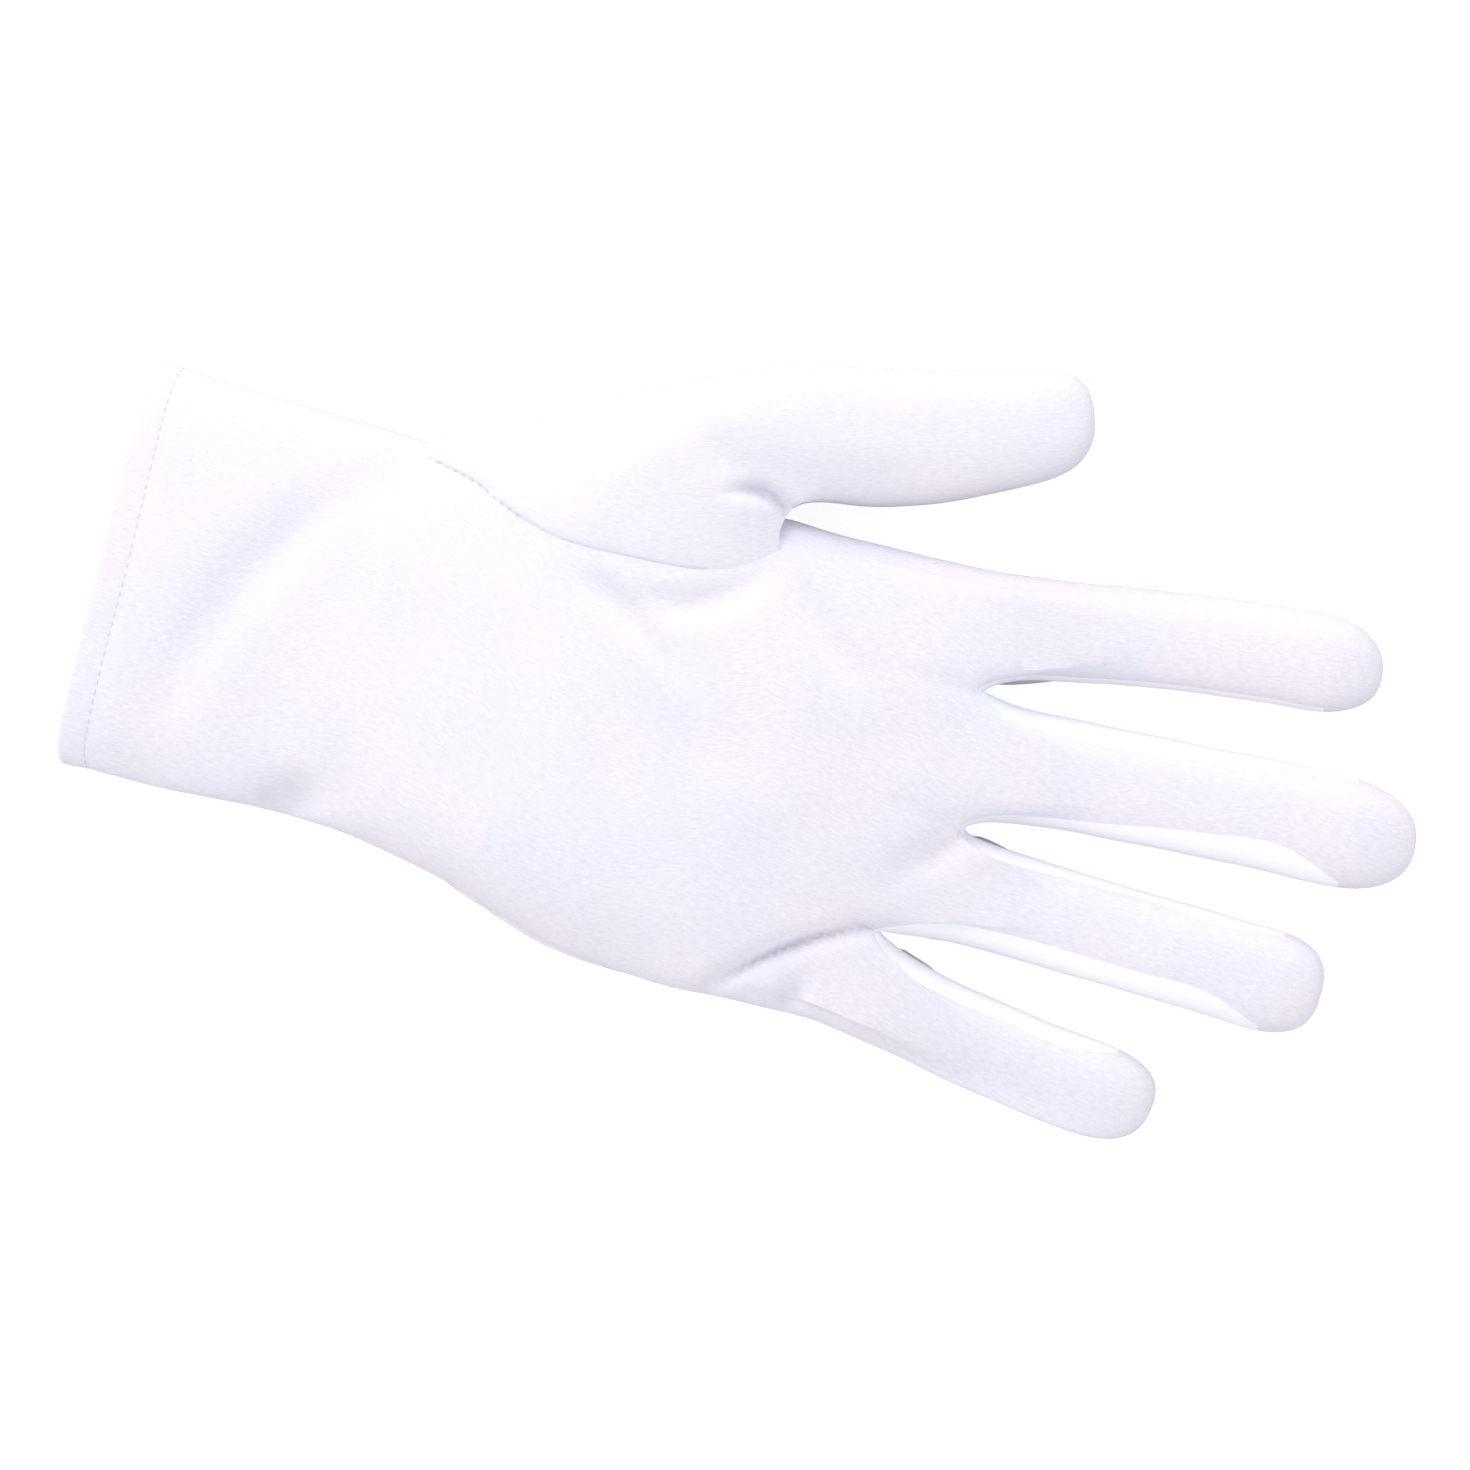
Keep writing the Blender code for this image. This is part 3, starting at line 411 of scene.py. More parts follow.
def body_surface(rows):
    """The trank up to the finger roots: rows are shares of the way there, columns run round it.

    A column ends at its own finger's root, so the rows lean with the line of the roots. Towards the
    roots the palm's top sinks into four humps, one for each finger.
    """
    q = np.arange(palm_faces + 1)
    root_across = np.interp(q / FINGER_FACES, np.arange(5), CROTCHES[:, 1] * PALM_WIDTH)
    root_along = through(np.arange(5), CROTCHES[:, 0], q / FINGER_FACES)
    sides = np.ones(SIDE_FACES - 1)
    reach = np.concatenate([root_along, sides * root_along[-1], root_along[::-1], sides * root_along[0]])
    across = np.concatenate([q / palm_faces, sides, 1.0 - q / palm_faces, sides * 0.0])
    root_half, root_centre, _ = body_size(root_along)
    spread = np.clip((root_across - root_centre) / root_half, -SIDE_SHARE, SIDE_SHARE)
    near = smoothstep((rows - LEAN_START) / (1.0 - LEAN_START))[:, None]
    in_strip = np.minimum(q / STRIP_FACES, 1.0)
    past_strip = np.clip((q - STRIP_FACES) / (palm_faces - STRIP_FACES), 0.0, 1.0)
    arcs = []
    for depth_share in (1.0, BACK_SEAM_SHARE):
        seam = thumb_seam_share(rows, depth_share)[:, None]
        even = blend(blend(SIDE_SHARE, seam, in_strip), -SIDE_SHARE, past_strip)
        arcs.append(blend(even, spread, near))
    sideways, lift = round_sections(arcs[0], arcs[1][:, ::-1], SIDE_FACES, 1.0, SECTION_SQUARENESS)
    along = rows[:, None] * reach
    half, centre, height = body_size(along)
    edge = CUFF_SLANT * (0.5 - across) + CUFF_ROUNDING * np.abs(sideways) ** CUFF_CORNER_POWER
    points = np.stack([along * PALM_LENGTH + edge * (1.0 - rows[:, None]) ** 3,
                       centre + half * sideways, lift * height], axis=2)
    t = q / FINGER_FACES - np.minimum(q // FINGER_FACES, 3)
    hump = arch(2.0 * t - 1.0, HUMP_SQUARENESS)
    sink = np.clip((rows - HUMP_START) / (1.0 - HUMP_START), 0.0, 1.0)[:, None] ** 2
    for columns, web, peak in ((q, CROTCH_TOP, 1.0), (back_last - q, CROTCH_BOTTOM, 0.0)):
        at_root = points[-1, columns, 2]
        left = np.where(q >= FINGER_FACES, web * ROOT_HEIGHT, at_root)
        right = np.where(q < 3 * FINGER_FACES, web * ROOT_HEIGHT, at_root)
        change = blend(blend(left, right, t), peak * ROOT_HEIGHT, hump) - at_root
        points[:, columns, 2] += change * sink
    return points


def finger_surface(name, root, root_ring, root_slope):
    """One finger: rings from its root to its tip, and the tip's point.

    Each ring is a superellipse on the finger's middle line. The first rings go over from the root's
    own outline and slope as a cubic curve in t, the share of their reach: ROOT_BLEND for the walls
    towards another finger and ROOT_SLOPE_BLEND for the rest. The last ones shrink as a blunt tip.
    """
    length, width, thickness, aim, bow, blunt, tip = FINGERS[name]
    turn = math.radians(aim)
    direction = np.array([math.cos(turn), math.sin(turn)])
    across = np.array([-math.sin(turn), math.cos(turn)])
    tip_start = 1.0 - tip * width / length
    coarse = np.linspace(0.0, 1.0, FINGER_ROWS + 1) ** RING_SPACING * tip_start
    round_end = np.sin(np.arange(1, TIP_ROWS + 1) / (TIP_ROWS + 1) * math.pi / 2)
    places = np.concatenate([coarse, blend(tip_start, 1.0, round_end)])
    narrow = arch(np.maximum(0.0, (places - tip_start) / (1.0 - tip_start)), blunt)[:, None]
    wide, thick = (curve(FINGER_PROFILE, FINGER_PROFILE_COLUMNS, column_name, places)[:, None]
                   for column_name in FINGER_PROFILE_COLUMNS[1:])
    half = 0.5 * width * narrow * wide
    tall = thickness * thick
    seam_end = blend(tip_start, 1.0, math.sin(math.radians(SEAM_END_ANGLE)))
    share_a, share_b = (through(SEAM_STATIONS, shares, places / seam_end)[:, None]
                        for shares in FINGER_SEAMS[name])
    q = np.arange(FINGER_FACES + 1) / FINGER_FACES
    palm = blend(share_a, -share_b, q)
    back = blend(-np.maximum(share_b, BACK_SEAM_LEAST), np.maximum(share_a, BACK_SEAM_LEAST), q)
    sideways, lift = round_sections(palm, back, SIDE_FACES, tall, FINGER_SQUARENESS)
    level = MIDDLE_HEIGHT * tall
    lift = np.maximum(level + (lift - level) * blend(TIP_LIFT, 1.0, narrow), 0.0)
    lift = level + (lift - level) * narrow ** TIP_LIFT_POWER
    line = root + np.outer(places * length, direction)
    line = line + np.outer(bow * length * 4.0 * places * (1.0 - places), across)
    flat = line[:, None, :] + (half * sideways)[:, :, None] * across
    rings = np.concatenate([flat, lift[:, :, None]], axis=2)
    far_wall = (ring_no >= FINGER_FACES) & (ring_no <= FINGER_FACES + SIDE_FACES) & (name != "little")
    near_wall = (ring_no >= 2 * FINGER_FACES + SIDE_FACES) | (ring_no == 0)
    steep = far_wall | (near_wall & (name != "index"))
    from_wall = np.minimum(ring_no + NO_WALL * (name == "index"),
                           np.abs(FINGER_FACES - ring_no) + NO_WALL * (name == "little"))
    steepness = np.where(steep, 1.0, np.clip(1.0 - from_wall / CORNER_FACES, 0.0, 1.0))
    reach = blend(ROOT_SLOPE_BLEND, ROOT_BLEND, steepness)
    t = np.minimum(1.0, places[:, None] * length / reach)
    own_slope = (rings[1] - rings[0]) / (places[1] * length)
    turn_share = (1.0 - steepness) * t * (1.0 - t) ** 2 * reach
    fade = blend((1.0 - t) ** 2 * (1.0 + 2.0 * t), (1.0 - t) ** 3, steepness)
    rings += ((root_ring - rings[0]) * fade[:, :, None]
              + (root_slope - own_slope) * turn_share[:, :, None])
    pole = np.append(root + direction * length, MIDDLE_HEIGHT * thickness * POLE_LIFT)
    return rings, pole


def press_folds(points, folds):
    """Sink points along the folds, with a low ridge beside each.

    Across a fold the height follows (1 - ridge d^2) exp(-d^2), where d is the distance over the width,
    and it fades towards both ends. Only the upper side moves.
    """
    t = np.linspace(0.0, 1.0, FOLD_POINTS)[:, None]
    for row in folds:
        fold = dict(zip(FOLD_COLUMNS, row))
        start, middle, end = (np.array(fold[name]) * (PALM_LENGTH, PALM_WIDTH)
                              for name in ("start", "middle", "end"))
        bend = 2.0 * middle - 0.5 * (start + end)
        line = (1 - t) ** 2 * start + 2 * t * (1 - t) * bend + t**2 * end
        gap = np.linalg.norm(points[..., None, :2] - line, axis=-1)
        d = gap.min(axis=-1) / fold["width"]
        run = gap.argmin(axis=-1) / (FOLD_POINTS - 1)
        ends = np.sin(math.pi * blend(FOLD_FADE, 1.0 - FOLD_FADE, run))
        upper = smoothstep((points[..., 2] - FOLD_LOWEST) / FOLD_RISE)
        wall = (1.0 - fold["ridge"] * d**2) * np.exp(-d**2)
        points[..., 2] -= fold["depth"] * ends * wall * upper
    return points


def grid_faces(ids):
    """Corner numbers of the faces between closed rows of point numbers: rows by columns by 4."""
    low, high = ids[:-1], ids[1:]
    return np.stack([low, np.roll(low, -1, axis=1), np.roll(high, -1, axis=1), high], axis=2)


def point_normals(points, quads):
    """Outward directions at the points: the sum of the normals of the faces round each."""
    corners = points[quads]
    across = np.cross(corners[:, 2] - corners[:, 0], corners[:, 3] - corners[:, 1])
    total = np.zeros_like(points)
    for k in range(4):
        np.add.at(total, quads[:, k], across)
    return unit(total)


# Points whose distances are worked out at once, to spare memory
POINTS_AT_ONCE = 2000


def line_distance(points, line):
    """Each point's distance to a line of points, and the length of line run to the nearest place."""
    legs = np.diff(line, axis=0)
    step = np.linalg.norm(legs, axis=1)
    run = ring_runs(line[None])[0]
    parts = []
    for block in np.array_split(points, max(1, len(points) // POINTS_AT_ONCE)):
        along = np.einsum("pk,sk->ps", block, legs) - np.sum(line[:-1] * legs, axis=1)
        t = np.clip(along / np.maximum(step, 1e-9) ** 2, 0.0, 1.0)
        foot = line[:-1] + t[:, :, None] * legs
        gap = np.linalg.norm(block[:, None, :] - foot, axis=2)
        best = gap.argmin(axis=1)
        pick = np.arange(len(block))
        parts.append(np.stack([gap[pick, best], run[best] + t[pick, best] * step[best]], axis=1))
    return np.concatenate(parts).T


def ring_runs(rings):
    """Length run along each row of points, from its first point."""
    step = np.linalg.norm(np.diff(rings, axis=1), axis=2)
    return np.hstack([np.zeros((len(rings), 1)), np.cumsum(step, axis=1)])


# The whole skin of the hand is worked out first, so that pieces that meet at a seam share its points:
# the body, the three webs between the fingers, and each finger's rings.
palm_faces = 4 * FINGER_FACES
back_first = palm_faces + SIDE_FACES
back_last = back_first + palm_faces
ring_no = np.arange(2 * (FINGER_FACES + SIDE_FACES))
rows = np.concatenate([
    np.linspace(0.0, 1.0, HEM_ROWS + 1)[:-1] ** 2 * HEM_WIDTH / PALM_LENGTH,
    np.linspace(HEM_WIDTH / PALM_LENGTH, THUMB_SEAM_START, WRIST_ROWS + 1)[:-1],
    np.linspace(THUMB_SEAM_START, THUMB_SEAM_END, THUMB_ROWS + 1)[:-1],
    np.linspace(THUMB_SEAM_END, 1.0, KNUCKLE_ROWS + 1)])
body = body_surface(rows)

hand_parts = [body.reshape(-1, 3)]
hand_count = body.shape[0] * body.shape[1]
body_ids = np.arange(hand_count).reshape(body.shape[:2])
down = np.arange(1, SIDE_FACES) / SIDE_FACES
web_ids = []
for along, side in CROTCHES[1:-1]:
    hand_parts.append(np.stack([
        along * PALM_LENGTH + WEB_BULGE * np.sin(math.pi * down),
        np.full_like(down, side * PALM_WIDTH),
        blend(CROTCH_TOP * ROOT_HEIGHT, CROTCH_BOTTOM * ROOT_HEIGHT, down)], axis=1))
    web_ids.append(hand_count + np.arange(SIDE_FACES - 1))
    hand_count += SIDE_FACES - 1

notch_row = HEM_ROWS + WRIST_ROWS
web_row = notch_row + THUMB_ROWS
body_columns = np.arange(body.shape[1])
in_hole = (body_columns < STRIP_FACES) | (body_columns >= back_last - STRIP_FACES)
finger_ids = {}
tip_fans = []
for i, name in enumerate(FINGERS):
    palm_columns = np.arange(i * FINGER_FACES, (i + 1) * FINGER_FACES + 1)
    back_columns = back_first + np.arange((3 - i) * FINGER_FACES, (4 - i) * FINGER_FACES + 1)
    far = web_ids[i] if i < 3 else body_ids[-1, palm_faces + 1:back_first]
    near = web_ids[i - 1][::-1] if i > 0 else body_ids[-1, back_last + 1:]
    root_ids = np.concatenate([body_ids[-1, palm_columns], far, body_ids[-1, back_columns], near])
    root = 0.5 * (CROTCHES[i] + CROTCHES[i + 1]) * (PALM_LENGTH, PALM_WIDTH)
    before_ids = np.concatenate([body_ids[-2, palm_columns], far, body_ids[-2, back_columns], near])
    if i == 3:
        before_ids[FINGER_FACES + 1:FINGER_FACES + SIDE_FACES] -= body.shape[1]
    if i == 0:
        before_ids[2 * FINGER_FACES + SIDE_FACES + 1:] -= body.shape[1]
    skin = np.concatenate(hand_parts)
    root_slope = unit(skin[root_ids] - skin[before_ids])
    rings, pole = finger_surface(name, root, skin[root_ids], root_slope)
    ids = hand_count + np.arange(rings[1:].size // 3).reshape(rings[1:].shape[:2])
    finger_ids[name] = np.vstack([root_ids, ids])
    hand_parts += [rings[1:].reshape(-1, 3), pole[None, :]]
    hand_count += ids.size + 1
    tip_fans.append((ids[-1], hand_count - 1))
hand = press_folds(np.concatenate(hand_parts), TRANK_FOLDS)
hand[:, 2] = np.maximum(hand[:, 2], 0.0)
hand -= ROW_ORIGIN


# The finger seams run along both edges of each fourchette; distance to them is measured round a ring.
SEAM_ROUNDING = 0.0013
SEAM_SINK = 0.00018
RELIEF_HEIGHT = 0.00009
FAR_FROM_SEAMS = 0.02
FREE_HEIGHT = 0.004
HEM_FOLD = 0.0006
HEM_ZONE_ROWS = 16
THUMB_ZONE_ROWS = 12
FOURCHETTE_ROWS = FINGER_ROWS + 3
ROW_STEP = 0.0006
SHARP_EDGE = 60.0
# Waves in the cloth: how fast each one turns along X, Y and Z, in radians a metre
WAVES = ((210, 130, 60), (-150, 260, 90), (330, -120, 40), (90, 380, -70), (-420, -210, 110))
WAVE_SHIFT = 1.7
WAVE_SHARE = 0.4


def wrapped(grid):
    """A grid of closed rows with its first column repeated at the end."""
    return np.concatenate([grid, grid[:, :1]], axis=1)


def corner_values(grid):
    """The values at the corners of the faces of a grid that already has its last column."""
    return np.stack([grid[:-1, :-1], grid[:-1, 1:], grid[1:, 1:], grid[1:, :-1]], axis=2)


def relief(points):
    """Small rises and hollows of loose cloth: a sum of WAVES, 13 to 25 mm long."""
    turns = points @ np.array(WAVES).T + np.arange(len(WAVES)) * WAVE_SHIFT
    return np.sin(turns).sum(axis=-1) * WAVE_SHARE


def settled(points, normals, seam_gap):
    """Points with the cloth's own relief, drawn in along the seams by SEAM_SINK within SEAM_ROUNDING."""
    sink = SEAM_SINK * np.exp(-(seam_gap / SEAM_ROUNDING) ** 2)
    push = RELIEF_HEIGHT * relief(points) * smoothstep(points[:, 2] / FREE_HEIGHT) - sink
    moved = points + normals * push[:, None]
    moved[:, 2] = np.maximum(moved[:, 2], 0.0)
    return moved


def cloth_piece(name, points, normals, quads, fans, cloth, seams, material):
    """A sewn piece of cloth: its faces of a skin of points, with a wall of CLOTH put on inwards.

    The inner face is the outer one moved against the normals and turned round, and a strip of faces
    closes the wall along every edge that only one face has. cloth is the place of each face corner in
    the cloth, across and along its wales, and seams the run along the nearest seam and the distance to
    it, all in metres and kept as UV maps.
    """
    used, numbers = np.unique(np.concatenate([quads.ravel(), fans.ravel()]), return_inverse=True)
    count = len(used)
    quads = numbers[:quads.size].reshape(-1, 4)
    fans = numbers[quads.size:].reshape(-1, 3)
    edges = np.concatenate([np.stack([faces, np.roll(faces, -1, axis=1)], axis=2).reshape(-1, 2)
                            for faces in (quads, fans)])
    key = edges.min(axis=1) * count + edges.max(axis=1)
    _, back, uses = np.unique(key, return_inverse=True, return_counts=True)
    a, b = edges[uses[back] == 1].T
    rim = np.stack([b, a, a + count, b + count], axis=1)
    outer = points[used]
    inner = outer - normals[used] * CLOTH
    inner[:, 2] = np.maximum(inner[:, 2], np.minimum(outer[:, 2] + CLOTH, 0.5 * CLOTH))
    faces = np.concatenate([quads, quads[:, ::-1] + count, rim]).tolist()
    faces += np.concatenate([fans, fans[:, ::-1] + count]).tolist()
    piece = surface_mesh(name, np.concatenate([outer, inner]), faces, material)
    piece.data.set_sharp_from_angle(angle=math.radians(SHARP_EDGE))
    for title, values in (("cloth", cloth), ("seams", seams)):
        on_quads = values[:quads.size].reshape(-1, 4, 2)
        on_fans = values[quads.size:].reshape(-1, 3, 2)
        at_point = np.zeros((2 * count, 2))
        at_point[numbers] = values
        at_point[count:] = at_point[:count]
        corners = np.concatenate([
            on_quads.reshape(-1, 2), on_quads[:, ::-1].reshape(-1, 2), at_point[rim.ravel()],
            on_fans.reshape(-1, 2), on_fans[:, ::-1].reshape(-1, 2)])
        layer = piece.data.uv_layers.new(name=title)
        layer.data.foreach_set("uv", corners.astype(np.float32).ravel())
    return piece


def tricot_knit(name, face, hollow_shade, painted_glow):
    """Fine nylon tricot: matt white with a faint silky gleam along its wales.

    The wales are 0.4 mm wide and show as broken streaks a millimetre or so long. The colour goes from
    hollow_shade, a painted shade, where the streaks lie low in the relief, to face where they rise, and
    the blotches vary it at random; a faint rose or blue cast lies over it in clouds. painted_glow is a
    faint glow of the face colour, painted light that brightens the cloth where it lies in shade. Close
    to a seam the cloth dips and puckers at each stitch.
    """
    material = bpy.data.materials.new(name)
    material.use_nodes = True
    tree = material.node_tree
    place = add_node(tree, "ShaderNodeUVMap", {"uv_map": "cloth"})
    seam = add_node(tree, "ShaderNodeUVMap", {"uv_map": "seams"})
    along = add_node(tree, "ShaderNodeMapping", values={"Scale": (1 / WALE, 1 / STREAK, 1.0)},
                     links={"Vector": place.outputs["UV"]})
    streaks = add_node(tree, "ShaderNodeTexNoise", values={"Scale": 1.0, "Detail": 3.0, "Roughness": 0.6},
                       links={"Vector": along.outputs["Vector"]})
    even = add_node(tree, "ShaderNodeMapping", values={"Scale": (1 / BLOTCH, 1 / BLOTCH, 1.0)},
                    links={"Vector": place.outputs["UV"]})
    blotches = add_node(tree, "ShaderNodeTexNoise", values={"Scale": 1.0, "Detail": 2.0},
                        links={"Vector": even.outputs["Vector"]})
    both = add_node(tree, "ShaderNodeMath", {"operation": "MULTIPLY_ADD"}, {1: BLOTCH_SHARE},
                    {0: blotches.outputs["Fac"], 2: streaks.outputs["Fac"]})
    # Painted shade: the tint darkens towards the second colour where the streaks, which also raise the
    # relief, lie low
    share = add_node(tree, "ShaderNodeMapRange", {"clamp": True},
                     {"From Min": TINT_LOW, "From Max": TINT_HIGH}, {"Value": both.outputs["Value"]})
    tint_with_painted_shade = add_node(tree, "ShaderNodeMix", {"data_type": "RGBA"},
                    {"A": linear(hollow_shade), "B": linear(face)}, {"Factor": share.outputs["Result"]})
    whole = add_node(tree, "ShaderNodeTexCoord")
    clouds = add_node(tree, "ShaderNodeTexNoise", values={"Scale": 1 / CAST, "Detail": 1.0},
                      links={"Vector": whole.outputs["Object"]})
    cast = add_node(tree, "ShaderNodeMapRange", {"clamp": True},
                    {"From Min": CAST_LOW, "From Max": CAST_HIGH}, {"Value": clouds.outputs["Fac"]})
    dye = add_node(tree, "ShaderNodeMix", {"data_type": "RGBA"},
                   {"A": linear(ROSE_CAST), "B": linear(BLUE_CAST)}, {"Factor": cast.outputs["Result"]})
    dyed = add_node(tree, "ShaderNodeMix", {"data_type": "RGBA", "blend_type": "MULTIPLY"},
                    {"Factor": 1.0}, {"A": tint_with_painted_shade.outputs["Result"], "B": dye.outputs["Result"]})

    split = add_node(tree, "ShaderNodeSeparateXYZ", links={"Vector": along.outputs["Vector"]})
    turns = add_node(tree, "ShaderNodeMath", {"operation": "MULTIPLY"}, {1: 2.0 * math.pi},
                     {0: split.outputs["X"]})
    wale = add_node(tree, "ShaderNodeMath", {"operation": "SINE"}, links={0: turns.outputs["Value"]})
    knit = add_node(tree, "ShaderNodeMath", {"operation": "MULTIPLY_ADD"}, {1: WALE_SHARE},
                    {0: wale.outputs["Value"], 2: streaks.outputs["Fac"]})
    knit_mm = add_node(tree, "ShaderNodeMath", {"operation": "MULTIPLY"}, {1: KNIT_RELIEF},
                       {0: knit.outputs["Value"]})

    seam_split = add_node(tree, "ShaderNodeSeparateXYZ", links={"Vector": seam.outputs["UV"]})
    groove = add_node(tree, "ShaderNodeMapRange", {"interpolation_type": "SMOOTHSTEP"},
                      {"From Max": GROOVE_HALF, "To Min": -GROOVE_DEPTH, "To Max": 0.0},
                      {"Value": seam_split.outputs["Y"]})
    near = add_node(tree, "ShaderNodeMapRange", {"interpolation_type": "SMOOTHSTEP"},
                    {"From Max": PUCKER_REACH, "To Min": PUCKER_HEIGHT, "To Max": 0.0},
                    {"Value": seam_split.outputs["Y"]})
    stitch_turns = add_node(tree, "ShaderNodeMath", {"operation": "MULTIPLY"},
                            {1: 2.0 * math.pi / STITCH}, {0: seam_split.outputs["X"]})
    stitch = add_node(tree, "ShaderNodeMath", {"operation": "SINE"},
                      links={0: stitch_turns.outputs["Value"]})
    pucker = add_node(tree, "ShaderNodeMath", {"operation": "MULTIPLY_ADD"},
                      links={0: stitch.outputs["Value"], 1: near.outputs["Result"],
                             2: groove.outputs["Result"]})
    height = add_node(tree, "ShaderNodeMath", {"operation": "ADD"},
                      links={0: pucker.outputs["Value"], 1: knit_mm.outputs["Value"]})
    bump = add_node(tree, "ShaderNodeBump", values={"Strength": 1.0, "Distance": 0.001},
                    links={"Height": height.outputs["Value"]})

    cloth_shader = tree.nodes["Principled BSDF"]
    tree.links.new(dyed.outputs["Result"], cloth_shader.inputs["Base Color"])
    tree.links.new(bump.outputs["Normal"], cloth_shader.inputs["Normal"])
    cloth_shader.inputs["Roughness"].default_value = 0.75
    cloth_shader.inputs["Specular IOR Level"].default_value = 0.25
    cloth_shader.inputs["Sheen Weight"].default_value = GLEAM
    cloth_shader.inputs["Sheen Roughness"].default_value = 0.4
    # A faint glow in the face colour: painted light that brightens the cloth where it lies in shade
    cloth_shader.inputs["Emission Color"].default_value = linear(face)
    cloth_shader.inputs["Emission Strength"].default_value = painted_glow
    return material


# Wale width, streak length, blotch size and the size of the clouds in the colour, in metres
WALE = 0.0004
STREAK = 0.0018
BLOTCH = 0.0009
CAST = 0.018
# How much the blotches add to the tint and the wales to the relief, and between which values of their
# noise the tint and the cast go over
BLOTCH_SHARE = 0.3
WALE_SHARE = 0.08
TINT_LOW = 0.45
TINT_HIGH = 0.85
CAST_LOW = 0.35
CAST_HIGH = 0.65
ROSE_CAST = "#FFFCFE"
BLUE_CAST = "#F8FBFF"
GLEAM = 0.1
# The relief, depth and height of the bump are in millimetres; reaches and the stitch in metres
KNIT_RELIEF = 0.06
GROOVE_HALF = 0.0006
GROOVE_DEPTH = 0.03
PUCKER_REACH = 0.0022
PUCKER_HEIGHT = 0.015
STITCH = 0.00175
# The fingers' places in the cloth are set this far apart, so that their streaks differ
FINGER_CLOTH_STEP = 0.03

hand_quads = [grid_faces(body_ids).reshape(-1, 4)]
hand_quads += [grid_faces(ids).reshape(-1, 4) for ids in finger_ids.values()]
hand_normals = point_normals(hand, np.concatenate(hand_quads))
for ring, pole_id in tip_fans:
    hand_normals[pole_id] = unit(hand_normals[ring].mean(axis=0))

# Where each point lies along its nearest seam and how far from it. A closed seam is run both ways from
# one place, so that its stitches go on evenly all round.
seam_map = np.stack([hand[:, 0], np.full(len(hand), FAR_FROM_SEAMS)], axis=1)
for name, ids in finger_ids.items():
    runs = ring_runs(wrapped(hand[ids]))
    loop_length = runs[:, -1:]
    edges = []
    if name != "little":
        edges += [FINGER_FACES, FINGER_FACES + SIDE_FACES]
    if name != "index":
        edges += [2 * FINGER_FACES + SIDE_FACES, 0]
    gaps = np.full(ids.shape, FAR_FROM_SEAMS)
    for edge in edges:
        gap = np.abs(runs[:, :-1] - runs[:, edge:edge + 1])
        gaps = np.minimum(gaps, np.minimum(gap, loop_length - gap))
    past_end = np.maximum(0, np.arange(len(ids)) - FOURCHETTE_ROWS)[:, None] * ROW_STEP
    gaps = np.hypot(gaps, past_end)
    seam_map[ids[1:].ravel(), 1] = gaps[1:].ravel()

around = np.concatenate([np.arange(back_last - STRIP_FACES, body.shape[1]), np.arange(STRIP_FACES + 1)])
thumb_loop = np.concatenate([
    body_ids[notch_row:web_row, STRIP_FACES], body_ids[web_row, around][::-1][:-1],
    body_ids[notch_row:web_row + 1, back_last - STRIP_FACES][::-1][:-1], body_ids[notch_row, around][:-1]])
loop_line = hand[np.append(thumb_loop, thumb_loop[0])]
near_thumb = body_ids[notch_row - THUMB_ZONE_ROWS:web_row + THUMB_ZONE_ROWS + 1].ravel()
gap, run = line_distance(hand[near_thumb], loop_line)
loop_runs = ring_runs(loop_line[None])[0]
run = np.abs(run - 0.5 * loop_runs[-1])
seam_map[near_thumb] = np.stack([run, np.minimum(gap, FAR_FROM_SEAMS)], axis=1)
hem_zone = body_ids[:HEM_ROWS + HEM_ZONE_ROWS]
hem_runs = ring_runs(wrapped(hand[hem_zone]))
hem_runs = np.abs(hem_runs - 0.5 * hem_runs[:, -1:])[:, :-1]
hem_gap = np.abs(rows[:len(hem_zone), None] * PALM_LENGTH - HEM_WIDTH)
hem_gap = np.broadcast_to(hem_gap, hem_runs.shape)
seam_map[hem_zone.ravel()] = np.stack([hem_runs, hem_gap], axis=2).reshape(-1, 2)
hand_settled = settled(hand, hand_normals, seam_map[:, 1])
turn_in = 1.0 - np.sqrt(np.clip(rows[:HEM_ROWS] * PALM_LENGTH / HEM_FOLD, 0.0, 1.0))
end_ids = body_ids[:HEM_ROWS]
hand_settled[end_ids] -= hand_normals[end_ids] * (HEM_FOLD * turn_in)[:, None, None]

